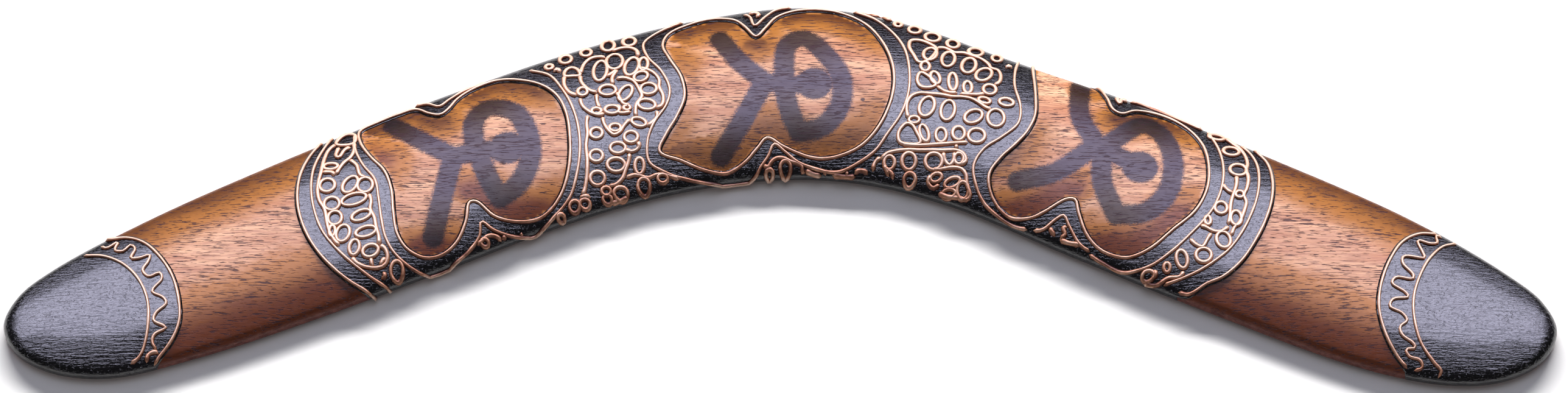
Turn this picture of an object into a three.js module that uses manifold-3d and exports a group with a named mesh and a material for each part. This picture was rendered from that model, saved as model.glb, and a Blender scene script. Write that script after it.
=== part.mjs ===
// A hand-painted wooden boomerang, modelled in millimetres with +Z up.
//
// The blade is one carved board lying on its flat side, with a domed top and a rounded edge. Black
// lacquer films cover both tips and the middle, and thick paint is piped on top of them in raised
// lines and looped lace. The origin is under the middle of the board, on the plane that it rests on.

import * as THREE from 'three';
import { mergeVertices } from 'three/addons/utils/BufferGeometryUtils.js';
import Module from 'manifold-3d';

// ---------------------------------------------------------------------------- driving dimensions

const EDGE_RADIUS = 1.9; // rounding of the rim, so the rim is 3.8 thick
const DOME_POWER = 2.2; // how early the top flattens towards its ridge
const HALF_WIDTH = [[0, 24.5], [30, 24], [70, 21.5], [110, 20.6], [150, 19.5], [185, 17.5]];
const RIDGE_HEIGHT = [[0, 9], [60, 8.4], [140, 7.6], [185, 6.4]];

const FILM_GAP = 0.3; // air left between the wood and a film
const FILM_THICKNESS = 0.3;
const FILM_LIP = 0.95; // how far a film shows past the middle of a piped line
const FILM_TURN = 1.35; // how far round the rim a film wraps, in radians

const LINE = { width: 1.15, height: 0.8, step: 3.2 };
const BEAD = { width: 1.3, height: 0.85, step: 2.6 };
const RIM_STEP = 1.4; // the step between sections where a line runs over the rim
const PAINT_GAP = 0.3; // clear width between a line and the lace beside it
const PAINT_LIFT = 1.1; // height of a line's foot over the wood, clear of the film
const LACE_SLIVER = 2; // cut-off bits of lace under this volume are left out
const TOLERANCE = 0.05; // how far cut paint may move to shed needless small faces

const OUTLINE_STEPS = 3; // sections from one outline point to the next
const DOME_RINGS = [0.22, 0.5, 0.82]; // rings of the dome, from the rim to the ridge

// The blade's plan, clockwise from the left tip: far edge, right tip, near edge, left tip.
const OUTLINE = [
  [-200, -39], [-197, -31], [-189, -23.5], [-165, -8.5], [-130, 9.5], [-90, 28], [-50, 43.8],
  [-20, 52.2], [8, 55.6], [35, 50.2], [60, 40], [90, 28], [130, 9.5], [165, -8.5],
  [188.5, -24.5], [197, -32.5], [200, -40.5], [196, -48.7], [186, -54.3], [172, -55.6],
  [150, -51], [110, -34.5], [75, -18.2], [45, -4], [22, 2.7], [0, 4], [-25, 0.4], [-50, -7],
  [-90, -24], [-120, -36.8], [-150, -48], [-172, -53.6], [-187, -52], [-196.5, -46.5],
];

// The line down the middle of the board that the dome rises to.
const RIDGE_LINE = [
  [-182, -37.5], [-150, -24.5], [-110, -7.5], [-70, 12], [-35, 25.5], [0, 30.5], [35, 25.5],
  [70, 12], [110, -8], [150, -25.5], [182, -39.5],
];

// ------------------------------------------------------------------------------- piped line work

const LINES = {
  left_tip_inner_line: [
    [-180.7, -20], [-175.2, -20.6], [-169.8, -23.4], [-165.3, -28.3], [-162.7, -34.3],
    [-162.2, -41], [-163.1, -47.2], [-164.3, -49.6], [-166.2, -51],
  ],
  left_tip_outer_line: [
    [-175.4, -15.3], [-169.7, -15], [-165, -16.9], [-160.4, -21.5], [-156.7, -27.4],
    [-154.6, -34.5], [-154.3, -39.8], [-156.1, -45], [-160.4, -50.8],
  ],
  left_tip_wave: [
    [-176.4, -17.2], [-174.8, -18], [-171.9, -16.3], [-172.5, -18.8], [-170.3, -19.3],
    [-168.4, -17.5], [-167.1, -18.8], [-168, -21.6], [-165.8, -21.7], [-163.1, -20.9],
    [-163.4, -23], [-164.6, -25.4], [-162.9, -27.3], [-160.1, -26.3], [-159.4, -28],
    [-161.7, -31.6], [-158.7, -33.4], [-157.8, -35], [-160.3, -37.7], [-160.8, -39.8],
    [-157.6, -41.6], [-160.3, -43.4], [-160.9, -45.3], [-159.7, -47.6],
  ],
  left_band_outer_line: [
    [-120.3, 13.8], [-122.8, 10], [-125.1, 4], [-125.8, -2], [-125.1, -8.5], [-122.4, -15.8],
    [-118, -22.2], [-112.5, -27], [-107.5, -29.8], [-104, -31],
  ],
  left_band_inner_line: [
    [-117.5, 15.5], [-119.9, 11], [-121.9, 5], [-122.3, -1], [-121.2, -8], [-118.5, -14.8],
    [-113.8, -20.5], [-108.8, -24.6], [-103.8, -27.8], [-100.3, -29],
  ],
  window_1_outer_line: [
    [-112, 15.5], [-111.5, 10.5], [-109, 5], [-105.7, 0.5], [-104.5, -5], [-103.5, -11],
    [-102.1, -16.5], [-99.1, -21], [-93.6, -24.5], [-88.6, -23.8], [-83.9, -20.9], [-80.2, -18],
    [-78, -14.6], [-77.6, -11.1], [-74.4, -13], [-70.2, -14], [-63.7, -12.5], [-58.2, -8],
    [-54.8, -3.5], [-53.2, 2], [-52.4, 9], [-53, 16], [-54.9, 22.5], [-57.7, 28], [-61.2, 32.7],
    [-66.7, 35],
  ],
  window_2_outer_line: [
    [-25.9, 50.2], [-32.9, 46.3], [-36.3, 42.5], [-35.3, 38], [-31.2, 32.5], [-29.1, 27],
    [-29.9, 22.5], [-33.3, 16.8], [-34.8, 11.5], [-34.2, 6.3], [-30.4, 4], [-23.9, 2.3],
    [-12.9, 2.5], [-6.6, 3.9], [-5, 6], [-3.1, 8.6], [-1.5, 11.7], [1, 10], [4.6, 7.2], [9.6, 5.5],
    [15.9, 4.9], [19.9, 6.5], [24.9, 9.8], [28.4, 14.6], [31.9, 20], [33.8, 26], [34.2, 33],
    [33.1, 40], [30.4, 45.3], [25.6, 50.5], [19.5, 53.4],
  ],
  window_2_top_line: [
    [-9.9, 52.2], [-8.2, 51.4], [-6.8, 47.8], [-4.1, 50.9], [-1.2, 53.6], [3, 54.6],
  ],
  window_3_left_line: [
    [63.5, 38.6], [62.3, 34], [62, 29], [63.3, 22], [62.5, 17], [58.2, 13], [53.3, 9.5], [50.6, 5],
    [51.1, 0], [53.3, -5], [56.7, -8], [60.7, -10.5], [64.4, -12],
  ],
  window_3_notch_line: [
    [65.9, -12.4], [68.2, -12.6], [71.7, -10.2], [73.7, -9.3], [75.1, -12.1], [77.6, -16.7],
    [80.4, -18.9],
  ],
  window_3_right_line: [
    [112.5, 16.8], [115.1, 10.5], [115.9, 5], [115.5, 0], [114, -5], [111.5, -9.5], [106.5, -15.2],
    [101.3, -20], [95.4, -23.6], [89.9, -24.4], [83.6, -21.5], [80.1, -19.3],
  ],
  right_band_inner_line: [
    [121, 12.5], [123.3, 10], [124.9, 6], [125.1, 1.2], [124.1, -4.8], [122.1, -10.2],
    [119.5, -15.2], [116.4, -19.5], [112.9, -22.5], [108.3, -25.3], [103.2, -27.3], [99.1, -28.4],
  ],
  right_band_outer_line: [
    [124.4, 11.5], [127.6, 7], [128.6, 1.5], [128, -5], [125.9, -11.5], [122.6, -18], [119, -23.2],
    [114.5, -27], [110.1, -28.7], [105.7, -31], [102.8, -30.2],
  ],
  right_tip_outer_line: [
    [170.9, -13.7], [166.3, -13.9], [161.6, -16.7], [157.9, -22], [155, -29.1], [153.9, -36.2],
    [155.3, -43.6], [158.1, -49.4], [160.4, -52.3],
  ],
  right_tip_inner_line: [
    [175.8, -16.4], [172.1, -17.6], [168.1, -21.7], [165.3, -26.6], [163.1, -33], [162.8, -39.5],
    [164.2, -46], [167.3, -51.1], [169, -53.2], [168.2, -54.5],
  ],
  right_tip_wave: [
    [172, -14.8], [170.5, -14.3], [170.6, -16.5], [168.7, -17], [165.5, -16.2], [166.5, -20.2],
    [166.8, -21.6], [161.3, -21.4], [160.9, -23.5], [163.4, -26.9], [163.2, -28], [158.9, -27.6],
    [157.7, -29.3], [160.9, -31.8], [161.7, -33.2], [157.7, -33.9], [156.7, -36], [159.7, -37.8],
    [160.9, -39.9], [159, -41.6], [159.4, -43.8], [162.1, -46], [162.6, -47.3], [160.3, -47.6],
    [160.9, -49.3], [163.7, -50.4], [164.2, -52.3], [162.1, -52.8],
  ],
  window_1_top_line: [
    [-96.5, 24.6], [-93, 25], [-90, 23.8], [-87.5, 26], [-84, 28.7], [-78, 31.5],
  ],
  window_3_top_line: [
    [92.5, 25.8], [96, 25], [100, 23.4], [105.5, 20.4], [111.3, 17.2],
  ],
  window_3_inner_line: [
    [67.2, 39], [67.1, 34.5], [67.3, 30], [67.4, 25], [67, 19.5], [64.9, 14.8], [61.8, 11],
    [57.5, 6.8], [54.6, 2.5], [55, -2.5], [57.7, -7.2], [60.9, -9.3], [65.6, -9.3], [68.7, -8.1],
    [74.6, -5], [76.7, -5.2], [77.6, -8.8], [79.7, -14.8], [83.6, -19], [89.9, -21], [95.8, -19],
    [101.7, -14.2], [108, -8.5], [111.3, -2], [112.1, 5], [111.1, 11.3], [108.2, 16.3],
    [104, 19.8], [98.6, 22], [93.6, 22.5], [90.1, 21.2], [87.8, 22.5], [86.4, 26.5], [84.4, 30],
    [81.9, 32.6],
  ],
};

const CLOSED_LINES = {
  window_1_inner_line: [
    [-110.7, 16.5], [-110.2, 12.5], [-107.3, 7.7], [-103.3, 3], [-101.3, -2.5], [-100.5, -9],
    [-99.3, -15], [-96.6, -19], [-92.1, -21], [-87.6, -20], [-83.8, -16.5], [-81.6, -11],
    [-80.8, -6], [-79.1, -5.7], [-74.2, -9.5], [-68.7, -10.5], [-63.2, -9.6], [-59.7, -7],
    [-56.7, -2], [-55.1, 5], [-55.1, 13], [-56.2, 20], [-58.7, 25.5], [-63.2, 29.5], [-68.7, 31.5],
    [-74.7, 32], [-80.6, 29.8], [-85.1, 26.3], [-87.6, 22.5], [-89.6, 20.8], [-92.6, 21.5],
    [-96.1, 23.3], [-100.5, 22], [-106, 19.5],
  ],
  window_2_inner_line: [
    [-31.6, 9.2], [-29.9, 14], [-27.2, 19], [-25.2, 25], [-26.2, 31], [-29.4, 37], [-31.2, 41.5],
    [-29.9, 45.5], [-24.9, 48.8], [-17.9, 50.9], [-11.9, 50], [-9, 47], [-6.4, 43.9], [-3.8, 47],
    [-1, 50.8], [4, 53.2], [10, 53.8], [16.4, 52.6], [22.9, 48.6], [27.4, 42], [29.9, 34],
    [29.8, 26.5], [27.4, 19], [23.9, 13.6], [19.8, 10.3], [12.8, 8.1], [7.8, 8.4], [0.8, 11.1],
    [-3.4, 13.3], [-6, 10.5], [-9.2, 7], [-13.9, 4.2], [-19.9, 4.8], [-25.9, 7],
  ],
};

const LACE = {
  left_lace: {
    rings: [
      [-117.6, 5, 1.9, 1, 0], [-118.1, -1, 2, 2, 0], [-116.6, -6.6, 2, 1.9, 0],
      [-115.6, -10.8, 1.8, 2, 0], [-116.1, -14.6, 0.8, 1.6, 0], [-113.3, -15.2, 1.7, 2.4, -15],
      [-112.1, -0.9, 1.7, 2.7, -30], [-108.2, -1.1, 2, 2.2, 0], [-110.9, -5.3, 3.3, 1.6, 18],
      [-108.8, -10, 2.6, 1.4, 25], [-107.4, -14.7, 2.7, 1.4, 18], [-110.2, -19.1, 1.3, 2.1, -8],
      [-106, -19.9, 2.1, 1.6, 25], [-99.1, -24.7, 1.6, 2.5, 0],
    ],
    loops: [
      [[-116.7, 12.6], [-115.5, 15], [-113.5, 15.9], [-111.8, 15.2], [-111.9, 12.6], [-114, 12]],
    ],
    strokes: [
      [
        [-116.7, 12.6], [-118.5, 10.5], [-119.3, 8], [-119.7, 5.5], [-120, 3], [-120.4, 0.5],
        [-120.5, -2.8], [-119.8, -5.8], [-118.4, -8.2], [-117.7, -11.5], [-116.9, -14.5],
        [-115.5, -17], [-114, -18.8],
      ],
      [[-115.8, 11.5], [-116.4, 8.3], [-115.5, 8], [-114.3, 10.2], [-112.7, 11.3]],
      [[-111.9, 12.6], [-111.7, 10.2], [-112.4, 7.8], [-114.1, 6], [-115.3, 4], [-116.1, 2.2]],
      [[-119.8, 3.2], [-117, 3], [-116.4, 1.8]],
      [[-112.8, 7], [-110.7, 5], [-109.7, 2], [-108, 1]],
      [
        [-107.1, -3.5], [-106.4, -5.8], [-106.5, -8.2], [-105.4, -10.5], [-104.8, -13.3],
        [-104, -16], [-103.8, -18.3],
      ],
      [
        [-110.7, -21.6], [-109.8, -23], [-108, -23.9], [-105.8, -24.3], [-103.7, -24.2],
        [-101.9, -23], [-101.6, -21], [-102.5, -19], [-103.8, -18.3],
      ],
      [[-102.7, -25], [-102.1, -26.2], [-103.1, -27]],
      [[-105.8, -21.5], [-105.6, -23.3], [-105.2, -24.3]],
      [[-103.4, -24], [-102.7, -22.3], [-101.8, -21.5]],
    ],
  },
  right_lace: {
    rings: [
      [114.8, 14.9, 2.1, 0.9, -10], [118.4, 10.2, 2.1, 1.4, 0], [119.8, 4, 2.2, 1.8, 0],
      [119.7, -3.7, 1.1, 1, 0], [114.6, -7.8, 1.6, 1.7, 0], [118.4, -10.8, 1.4, 2.1, 0],
      [111, -11.5, 0.8, 1.3, 0], [114.8, -17.1, 1.8, 2.3, 12], [109.5, -21.3, 2, 1.9, 0],
      [100, -24.2, 0.8, 1.2, 0], [103.9, -22.2, 1.4, 2.4, 10], [95.2, -25.8, 1.5, 1.2, 0],
    ],
    loops: [],
    strokes: [
      [
        [117, 15], [119, 13], [121, 11], [122.1, 8.5], [122.4, 6], [121.9, 4], [122.3, 1.5],
        [121.7, -1.8], [120.8, -4], [121.3, -6], [120.5, -9], [119.2, -12], [117.8, -13.5],
        [116.8, -16],
      ],
      [
        [119.2, 2.1], [119.1, -0.3], [118.6, -2.3], [117.8, -4.5], [117.2, -6.8], [116.9, -9.5],
        [116.3, -12.8],
      ],
      [[115.2, -0.6], [116.5, -2.4], [118.1, -3.6]],
      [[108.9, -12.8], [110.8, -13.7], [112.4, -14.6], [114.3, -14.7], [116.5, -13.2]],
      [[106.1, -16.6], [107.5, -18.3], [109.3, -19], [110.5, -17.2], [111.8, -15]],
      [[94.1, -27], [97.6, -28], [100.3, -26.8], [103.3, -26.6], [104.4, -25.2]],
      [[96.8, -24.4], [97.1, -25.6], [96.6, -26.8]],
    ],
  },
  lace_12: {
    rings: [
      [-57, 38.2, 1.6, 1.5, 0], [-51.6, 40.3, 1.4, 1.3, 0], [-45.8, 42.4, 1.7, 1.9, 0],
      [-40.2, 43.6, 1.7, 1.6, 0], [-52.1, 26.7, 1.3, 1.3, 0], [-47.6, 33.5, 1.8, 3.4, -5],
      [-43.9, 36.5, 2.2, 2.6, 0], [-39.3, 34.6, 1.8, 3, -15], [-36.2, 35.3, 1.2, 2.1, 0],
      [-36.8, 31.2, 1.9, 1.5, 25], [-34.7, 27.3, 2.1, 1.7, 0], [-35.1, 22.5, 2.3, 1.5, -10],
      [-45.5, 27, 2.2, 1.6, 0], [-40.8, 26, 1.5, 2.6, -30], [-44.2, 21, 1.9, 1.2, 0],
      [-40.3, 21.5, 0.9, 0.7, 0], [-48.3, 20.6, 1.3, 0.9, 0], [-48.2, 14, 1.6, 1.5, 0],
      [-48.1, 7.6, 1.7, 1.6, 0], [-47.7, 1.6, 1.9, 1.8, 0], [-43.3, 15.6, 1.5, 1.1, 0],
      [-37.1, 17.3, 2, 1.2, -20], [-39.1, 13, 1.8, 1.6, 0], [-42.5, 9.9, 2, 1.5, 0],
      [-42.9, 5.3, 2.3, 1.8, 0], [-45.4, -1.6, 1.2, 1.1, 0], [-45.1, -3.5, 1.2, 1, 0],
      [-41.6, -1.9, 1.8, 1.6, 0], [-36.8, 5.2, 1.2, 2.1, 0], [-35.6, 0.2, 1.6, 2, 0],
      [-30.7, 2.3, 1.3, 1.1, 0], [-50.9, -5, 1.3, 1.2, 0], [-53.6, -5.8, 1.3, 1.5, -25],
      [-61.3, 35.8, 1, 0.9, 0],
    ],
    loops: [
      [[-57.1, 32.2], [-56.7, 34.2], [-55.3, 35], [-53.8, 34.3], [-52.9, 32.2], [-55, 32]],
    ],
    strokes: [
      [[-57.1, 32.2], [-57, 29], [-55.5, 26.5], [-53.5, 25.4]],
      [[-52.9, 32.2], [-52.6, 30], [-51.3, 28], [-49.8, 26.8], [-48.1, 26.3]],
      [[-52.9, 32.5], [-52, 36], [-50.3, 38], [-47.8, 38.5], [-46.3, 38]],
      [[-44.8, 40.3], [-42.3, 41.3], [-39.8, 41.2], [-38.1, 40], [-37.6, 37.8]],
      [
        [-37.3, 34], [-35.3, 33.5], [-33.3, 32.2], [-31.9, 30], [-31.9, 27.8], [-30.8, 25],
        [-31.1, 22.3], [-32.8, 21.3],
      ],
      [[-52.8, 24.8], [-52, 22.2], [-50, 20.3], [-47.6, 19.4], [-46, 20]],
      [[-48.4, 26], [-48.2, 23.5], [-47.4, 21.2]],
      [[-45.9, 31.2], [-43.3, 33.5], [-44.4, 30.8], [-44.1, 28.6]],
      [
        [-43.4, 30.6], [-41.3, 30.9], [-39, 30], [-38.1, 29], [-37.1, 27], [-36.4, 25],
        [-37.8, 22.5], [-38, 20], [-37.8, 18.7],
      ],
      [[-43.2, 26.5], [-42.1, 24.2], [-41.3, 22.8], [-39.3, 22.2]],
      [[-43.3, 22.5], [-42.1, 21.5], [-42.6, 20.3], [-40.8, 20], [-39.1, 20.5]],
      [[-32.5, 20.8], [-32.3, 19], [-33.8, 17], [-35, 16]],
      [
        [-50.5, 19.5], [-50.8, 17], [-50.5, 14], [-50.8, 10.5], [-50.4, 6], [-50.5, 2],
        [-51, -1.5], [-51.6, -3.2],
      ],
      [
        [-46.7, 19], [-46.3, 17], [-45, 14.8], [-43.6, 13.6], [-42, 14.4], [-41.1, 16],
        [-39.3, 18.3],
      ],
      [[-37.2, 12], [-37, 10.2], [-38.8, 9], [-40.8, 9.6]],
      [[-39.4, 8.7], [-39.6, 6.5], [-40.5, 3.8], [-41.1, 2], [-42.8, 0.3], [-44.8, -0.3]],
      [
        [-40.3, 2], [-38.1, 2.9], [-36.3, 2.7], [-34.6, 2.3], [-32.4, 3.2], [-30.6, 3.4],
        [-28.4, 2.9], [-26.4, 2.3],
      ],
      [[-52.3, -3.9], [-51.1, -3.1], [-49.4, -3.3]],
      [[-44.3, -4.2], [-41.8, -3.4], [-39.6, -2.4]],
      [[-60, 33.8], [-59, 34.8], [-58.2, 33.4]],
    ],
  },
  lace_23: {
    rings: [
      [31.5, 49.2, 1, 0.9, 0], [35.9, 47.4, 1.6, 1.3, 0], [40.6, 45, 2, 1.6, 0],
      [46, 43, 1.6, 1.5, 0], [52, 40.5, 1.9, 1.4, 0], [57.6, 38.7, 1.3, 1.2, 0],
      [39.8, 38.8, 1.7, 2.2, -25], [44.6, 37.2, 1.7, 2.6, -15], [50, 35.4, 1.8, 2.7, -20],
      [53.9, 32.5, 1.8, 2.5, -45], [38.4, 34.5, 1.2, 1.5, 0], [41, 30.8, 1.2, 2, 15],
      [45.6, 29.7, 1.1, 2.8, 0], [49.5, 28, 1.1, 1.9, 0], [55.3, 27.5, 1.7, 1.6, 0],
      [38.6, 21.9, 1.9, 3, -20], [44.1, 20.8, 1.8, 3, -12], [50.8, 19, 2.5, 1.8, 30],
      [56.7, 18.6, 2.2, 2.6, 0], [59.6, 23.5, 1.9, 1.2, -10], [53.8, 23.9, 1.6, 0.9, -15],
      [35.2, 18, 1.4, 1, 0], [37.8, 14.2, 1.1, 2.4, 15], [42.2, 13.6, 1.4, 2, 0],
      [46.8, 14, 1.6, 1.9, 0], [51.5, 13.3, 2.2, 2, 0], [28.6, 6.6, 1.4, 1.8, 0],
      [33.7, 6.8, 1.8, 2.2, 0], [40.2, 6.5, 2.2, 2.2, 0], [46.8, 7, 1.2, 1.5, 0],
      [33.9, 2.2, 1.5, 1.7, 0], [40.8, 2.3, 1.5, 1.1, 20], [45, 0.8, 2.1, 1.2, 20],
      [44.1, -1.8, 1.7, 1, 0], [47.7, -1.3, 1.5, 2.2, 0],
    ],
    loops: [
      [
        [36.8, 35.8], [35.4, 38.3], [34.3, 41], [34.8, 43.2], [37, 43.5], [39.8, 42.4],
        [41.6, 40.8], [40.8, 38.5], [38.8, 36.3],
      ],
      [[37.1, 32.4], [36.2, 30], [37.1, 28], [39.3, 27.7], [41.1, 28.6], [39.2, 31.3]],
      [
        [33.2, 17], [31.1, 14.5], [31.3, 12], [33.8, 11.2], [36.8, 11.6], [35.8, 14.5],
        [34.6, 16.6],
      ],
    ],
    strokes: [
      [
        [41.6, 41], [43.5, 41.3], [45.1, 40.6], [46.3, 39.8], [48.8, 39.9], [50.8, 39.2],
        [53.3, 38.2], [55.3, 36.3], [55.9, 35], [57.7, 34.3], [58.4, 32.3], [57.9, 30], [56.5, 29],
      ],
      [[59.9, 35.2], [60.7, 36.2], [61.5, 35.3]],
      [[41.3, 28.4], [42.8, 27], [44.8, 26.2], [46.8, 26.2]],
      [[47.3, 25.9], [49.8, 25.8], [52.6, 25.8], [54.1, 26.2]],
      [
        [33.7, 18.3], [33.3, 20.7], [33.6, 23.5], [34.8, 25.2], [36.8, 26], [39.8, 25.8],
        [42.8, 25.5], [45.1, 25], [47.8, 25], [50.3, 24.5], [52.6, 23], [54.1, 21.8], [55.7, 21],
      ],
      [[31.9, 11.3], [35.8, 10.9], [39.6, 11], [42.8, 11.1], [45.8, 11.3], [49.3, 11.4]],
      [
        [26.4, 7.5], [28.1, 9], [29.9, 9.5], [33.2, 9.8], [36.3, 9.6], [39.5, 9.5], [42.8, 9.3],
        [46.1, 9.3], [48, 8.2], [48.6, 6.3], [47.1, 5.2],
      ],
      [[46.1, 11.2], [46.2, 9.4]],
      [[42.7, 9], [43.1, 6.7], [44.3, 5.3], [45.4, 6.5], [45.6, 9]],
      [
        [39.8, 4.4], [41.8, 4.4], [44.8, 4.7], [47.3, 4.3], [48.5, 2.8], [48.8, 0], [49.6, -2.6],
        [49, -3.6], [46.8, -3], [43.8, -2.4], [41.3, -1.4],
      ],
      [[24.3, 4.6], [24.7, 6.5], [26.4, 8.2]],
      [[27.1, 6.3], [27.9, 4.6], [28.5, 3.2]],
      [[27.7, 5], [29.2, 4], [29.6, 2.5]],
      [[39.4, 3.2], [38.7, 1.2], [40, -0.2], [41.8, 0.6]],
      [[21, 54], [23.5, 53.4], [25.5, 52.6], [27, 52.8], [28.6, 51.2], [30, 50.8]],
    ],
  },
  elbow_lace: {
    rings: [
      [1.4, 5.8, 1.4, 1.8, 0], [-2.8, 4.6, 1, 0.9, 0],
    ],
    loops: [],
    strokes: [
      [
        [-4.6, 6.3], [-3.1, 5.9], [-2.5, 6.9], [-1.5, 7.9], [-0.2, 8.3], [1.4, 8], [2.6, 7.4],
        [4.5, 6.9], [5.8, 6.1], [5.8, 5.2], [6.6, 4.9],
      ],
      [[6.5, 5.3], [9, 4.6], [10.9, 4.4]],
      [[11.5, 5.3], [12, 4.4]],
      [[13.7, 4.4], [15.9, 4.1], [17.9, 3.9], [19.8, 3.8]],
      [[17.1, 5], [17.9, 4]],
      [[19.5, 4.2], [20.4, 4.9], [22, 4.8], [23, 4]],
    ],
  },
  notch_1_lace: {
    rings: [
      [-76.7, -16.2, 1, 0.9, 0], [-57.1, -8.6, 0.9, 0.8, 0],
    ],
    loops: [],
    strokes: [
      [
        [-78.6, -17], [-77.1, -15.6], [-76.2, -14.7], [-74.8, -14.3], [-73.3, -14.7],
        [-72.4, -15.4],
      ],
      [[-72.4, -15], [-71.1, -14.1]],
      [[-67.8, -13.3], [-66.9, -13.2]],
    ],
  },
  notch_3_lace: {
    rings: [],
    loops: [],
    strokes: [
      [[70, -12], [70.6, -13.2], [71.5, -14.4]],
      [[74.7, -12.3], [73.6, -12.6], [74, -14.2], [72.7, -15.2]],
      [[72.7, -15.3], [75, -16.3], [76.9, -16.8], [77.6, -17.4]],
    ],
  },
  curls: {
    rings: [],
    loops: [],
    strokes: [
      [[-8.4, 52.4], [-6.6, 52.9], [-5.7, 52], [-6.4, 51]],
      [[88.8, 27.2], [89.8, 24.8], [90.4, 26.4], [91.8, 25.6]],
      [[-159.2, -48.3], [-160.2, -47.9], [-161.8, -48.8], [-162.2, -50.5]],
    ],
  },
};

// ----------------------------------------------------------------------------------- the surface

function smooth(points, closed) {
  const corners = points.map(([x, y]) => new THREE.Vector3(x, y, 0));
  return new THREE.CatmullRomCurve3(corners, closed, 'centripetal');
}

const outlineCurve = smooth(OUTLINE, true);
const outline = outlineCurve.getPoints(OUTLINE.length * OUTLINE_STEPS).slice(0, -1);

function interpolate(table, x) {
  const last = table.length - 1;
  for (let i = 0; i < last; i += 1) {
    const [x0, y0] = table[i];
    const [x1, y1] = table[i + 1];
    if (x < x1) return y0 + ((y1 - y0) * (x - x0)) / (x1 - x0);
  }
  return table[last][1];
}

// The rim point nearest to (x, y), with its distance and the direction into the board there.
function nearestRim(x, y) {
  let best = { distance: Infinity };
  outline.forEach((start, i) => {
    const end = outline[(i + 1) % outline.length];
    const along = new THREE.Vector2(end.x - start.x, end.y - start.y);
    const offset = new THREE.Vector2(x - start.x, y - start.y);
    const t = THREE.MathUtils.clamp(offset.dot(along) / along.lengthSq(), 0, 1);
    const foot = new THREE.Vector2(start.x + along.x * t, start.y + along.y * t);
    const distance = Math.hypot(x - foot.x, y - foot.y);
    if (distance < best.distance) {
      const inward = new THREE.Vector2(along.y, -along.x).normalize();
      best = { distance, foot, inward, side: inward.dot(new THREE.Vector2(x, y).sub(foot)) };
    }
  });
  return best;
}

// How far the dome stands over the rounded rim, at a depth in from the rim.
function domeRise(x, depth) {
  const across = THREE.MathUtils.clamp(depth / interpolate(HALF_WIDTH, Math.abs(x)), 0, 1);
  const rise = interpolate(RIDGE_HEIGHT, Math.abs(x)) - 2 * EDGE_RADIUS;
  return rise * (1 - (1 - across) ** DOME_POWER);
}

// A point at a turn round the rim (0 is its top, PI / 2 its side), with a lift over the surface.
function roundRim(foot, inward, turn, lift) {
  const reach = EDGE_RADIUS + lift;
  const inset = EDGE_RADIUS - reach * Math.sin(turn);
  const depth = EDGE_RADIUS * (1 - Math.sin(Math.min(turn, Math.PI / 2)));
  return new THREE.Vector3(
    foot.x + inward.x * inset,
    foot.y + inward.y * inset,
    EDGE_RADIUS + reach * Math.cos(turn) + domeRise(foot.x, depth),
  );
}

// A plan point of the artwork, moved out over the rim as far as it lies round it.
function unrolled(point) {
  const { foot, inward, side } = nearestRim(point.x, point.y);
  if (side > EDGE_RADIUS || side < -4) return point;
  const out = Math.min((EDGE_RADIUS - side) / EDGE_RADIUS, 1);
  const depth = Math.max(EDGE_RADIUS * (1 - Math.asin(out)) + Math.min(side, 0), -1.8);
  return new THREE.Vector3(foot.x + inward.x * depth, foot.y + inward.y * depth, 0);
}

// An unrolled point, wrapped on to the board with a lift over its surface.
function wrapped(point, lift) {
  const { foot, inward, side } = nearestRim(point.x, point.y);
  const turn = (EDGE_RADIUS - side) / EDGE_RADIUS;
  if (turn > 0) return roundRim(foot, inward, turn, lift);
  const height = 2 * EDGE_RADIUS + domeRise(point.x, side) + lift;
  return new THREE.Vector3(point.x, point.y, height);
}

// ------------------------------------------------------------------------------- closed geometry

// A BufferGeometry with its faces pointing out, from corner positions and triangle indices.
function closedGeometry(positions, indices) {
  let volume = 0;
  const corner = (i) => new THREE.Vector3().fromArray(positions, indices[i] * 3);
  for (let i = 0; i < indices.length; i += 3) {
    volume += corner(i).dot(corner(i + 1).cross(corner(i + 2)));
  }
  if (volume < 0) indices.reverse();
  const geometry = new THREE.BufferGeometry();
  geometry.setAttribute('position', new THREE.Float32BufferAttribute(positions, 3));
  geometry.setIndex(indices);
  return geometry;
}

// A closed skin over a stack of equally long rings, with a flat-filled first and last ring.
function stackGeometry(rings) {
  const count = rings[0].length;
  const positions = rings.flat().flatMap((point) => [point.x, point.y, point.z]);
  const indices = [];
  for (let row = 0; row < rings.length - 1; row += 1) {
    for (let i = 0; i < count; i += 1) {
      const a = row * count + i;
      const b = row * count + ((i + 1) % count);
      indices.push(a, b, b + count, a, b + count, a + count);
    }
  }
  const cap = (ring, base, turned) => {
    const plan = ring.map((point) => new THREE.Vector2(point.x, point.y));
    THREE.ShapeUtils.triangulateShape(plan, []).forEach((face) => {
      const [a, b, c] = turned ? [...face].reverse() : face;
      indices.push(base + a, base + b, base + c);
    });
  };
  cap(rings[0], 0, false);
  cap(rings.at(-1), (rings.length - 1) * count, true);
  return closedGeometry(positions, indices);
}

// ------------------------------------------------------------------------------ rings of the board

const ridgeCurve = smooth(RIDGE_LINE, false);
const ridgePoints = ridgeCurve.getPoints(240);
const ridgeFeet = outline.map((rim) => ridgePoints.reduce(
  (best, point) => (point.distanceTo(rim) < best.distanceTo(rim) ? point : best),
));
const inwardAt = outline.map((rim, i) => {
  const before = outline.at(i - 1);
  const after = outline[(i + 1) % outline.length];
  return new THREE.Vector3(after.y - before.y, before.x - after.x, 0).normalize();
});

function rimRing(turn, lift) {
  return outline.map((rim, i) => roundRim(rim, inwardAt[i], turn, lift));
}

function domeRing(fraction, lift) {
  return outline.map((rim, i) => wrapped(rim.clone().lerp(ridgeFeet[i], fraction), lift));
}

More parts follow.
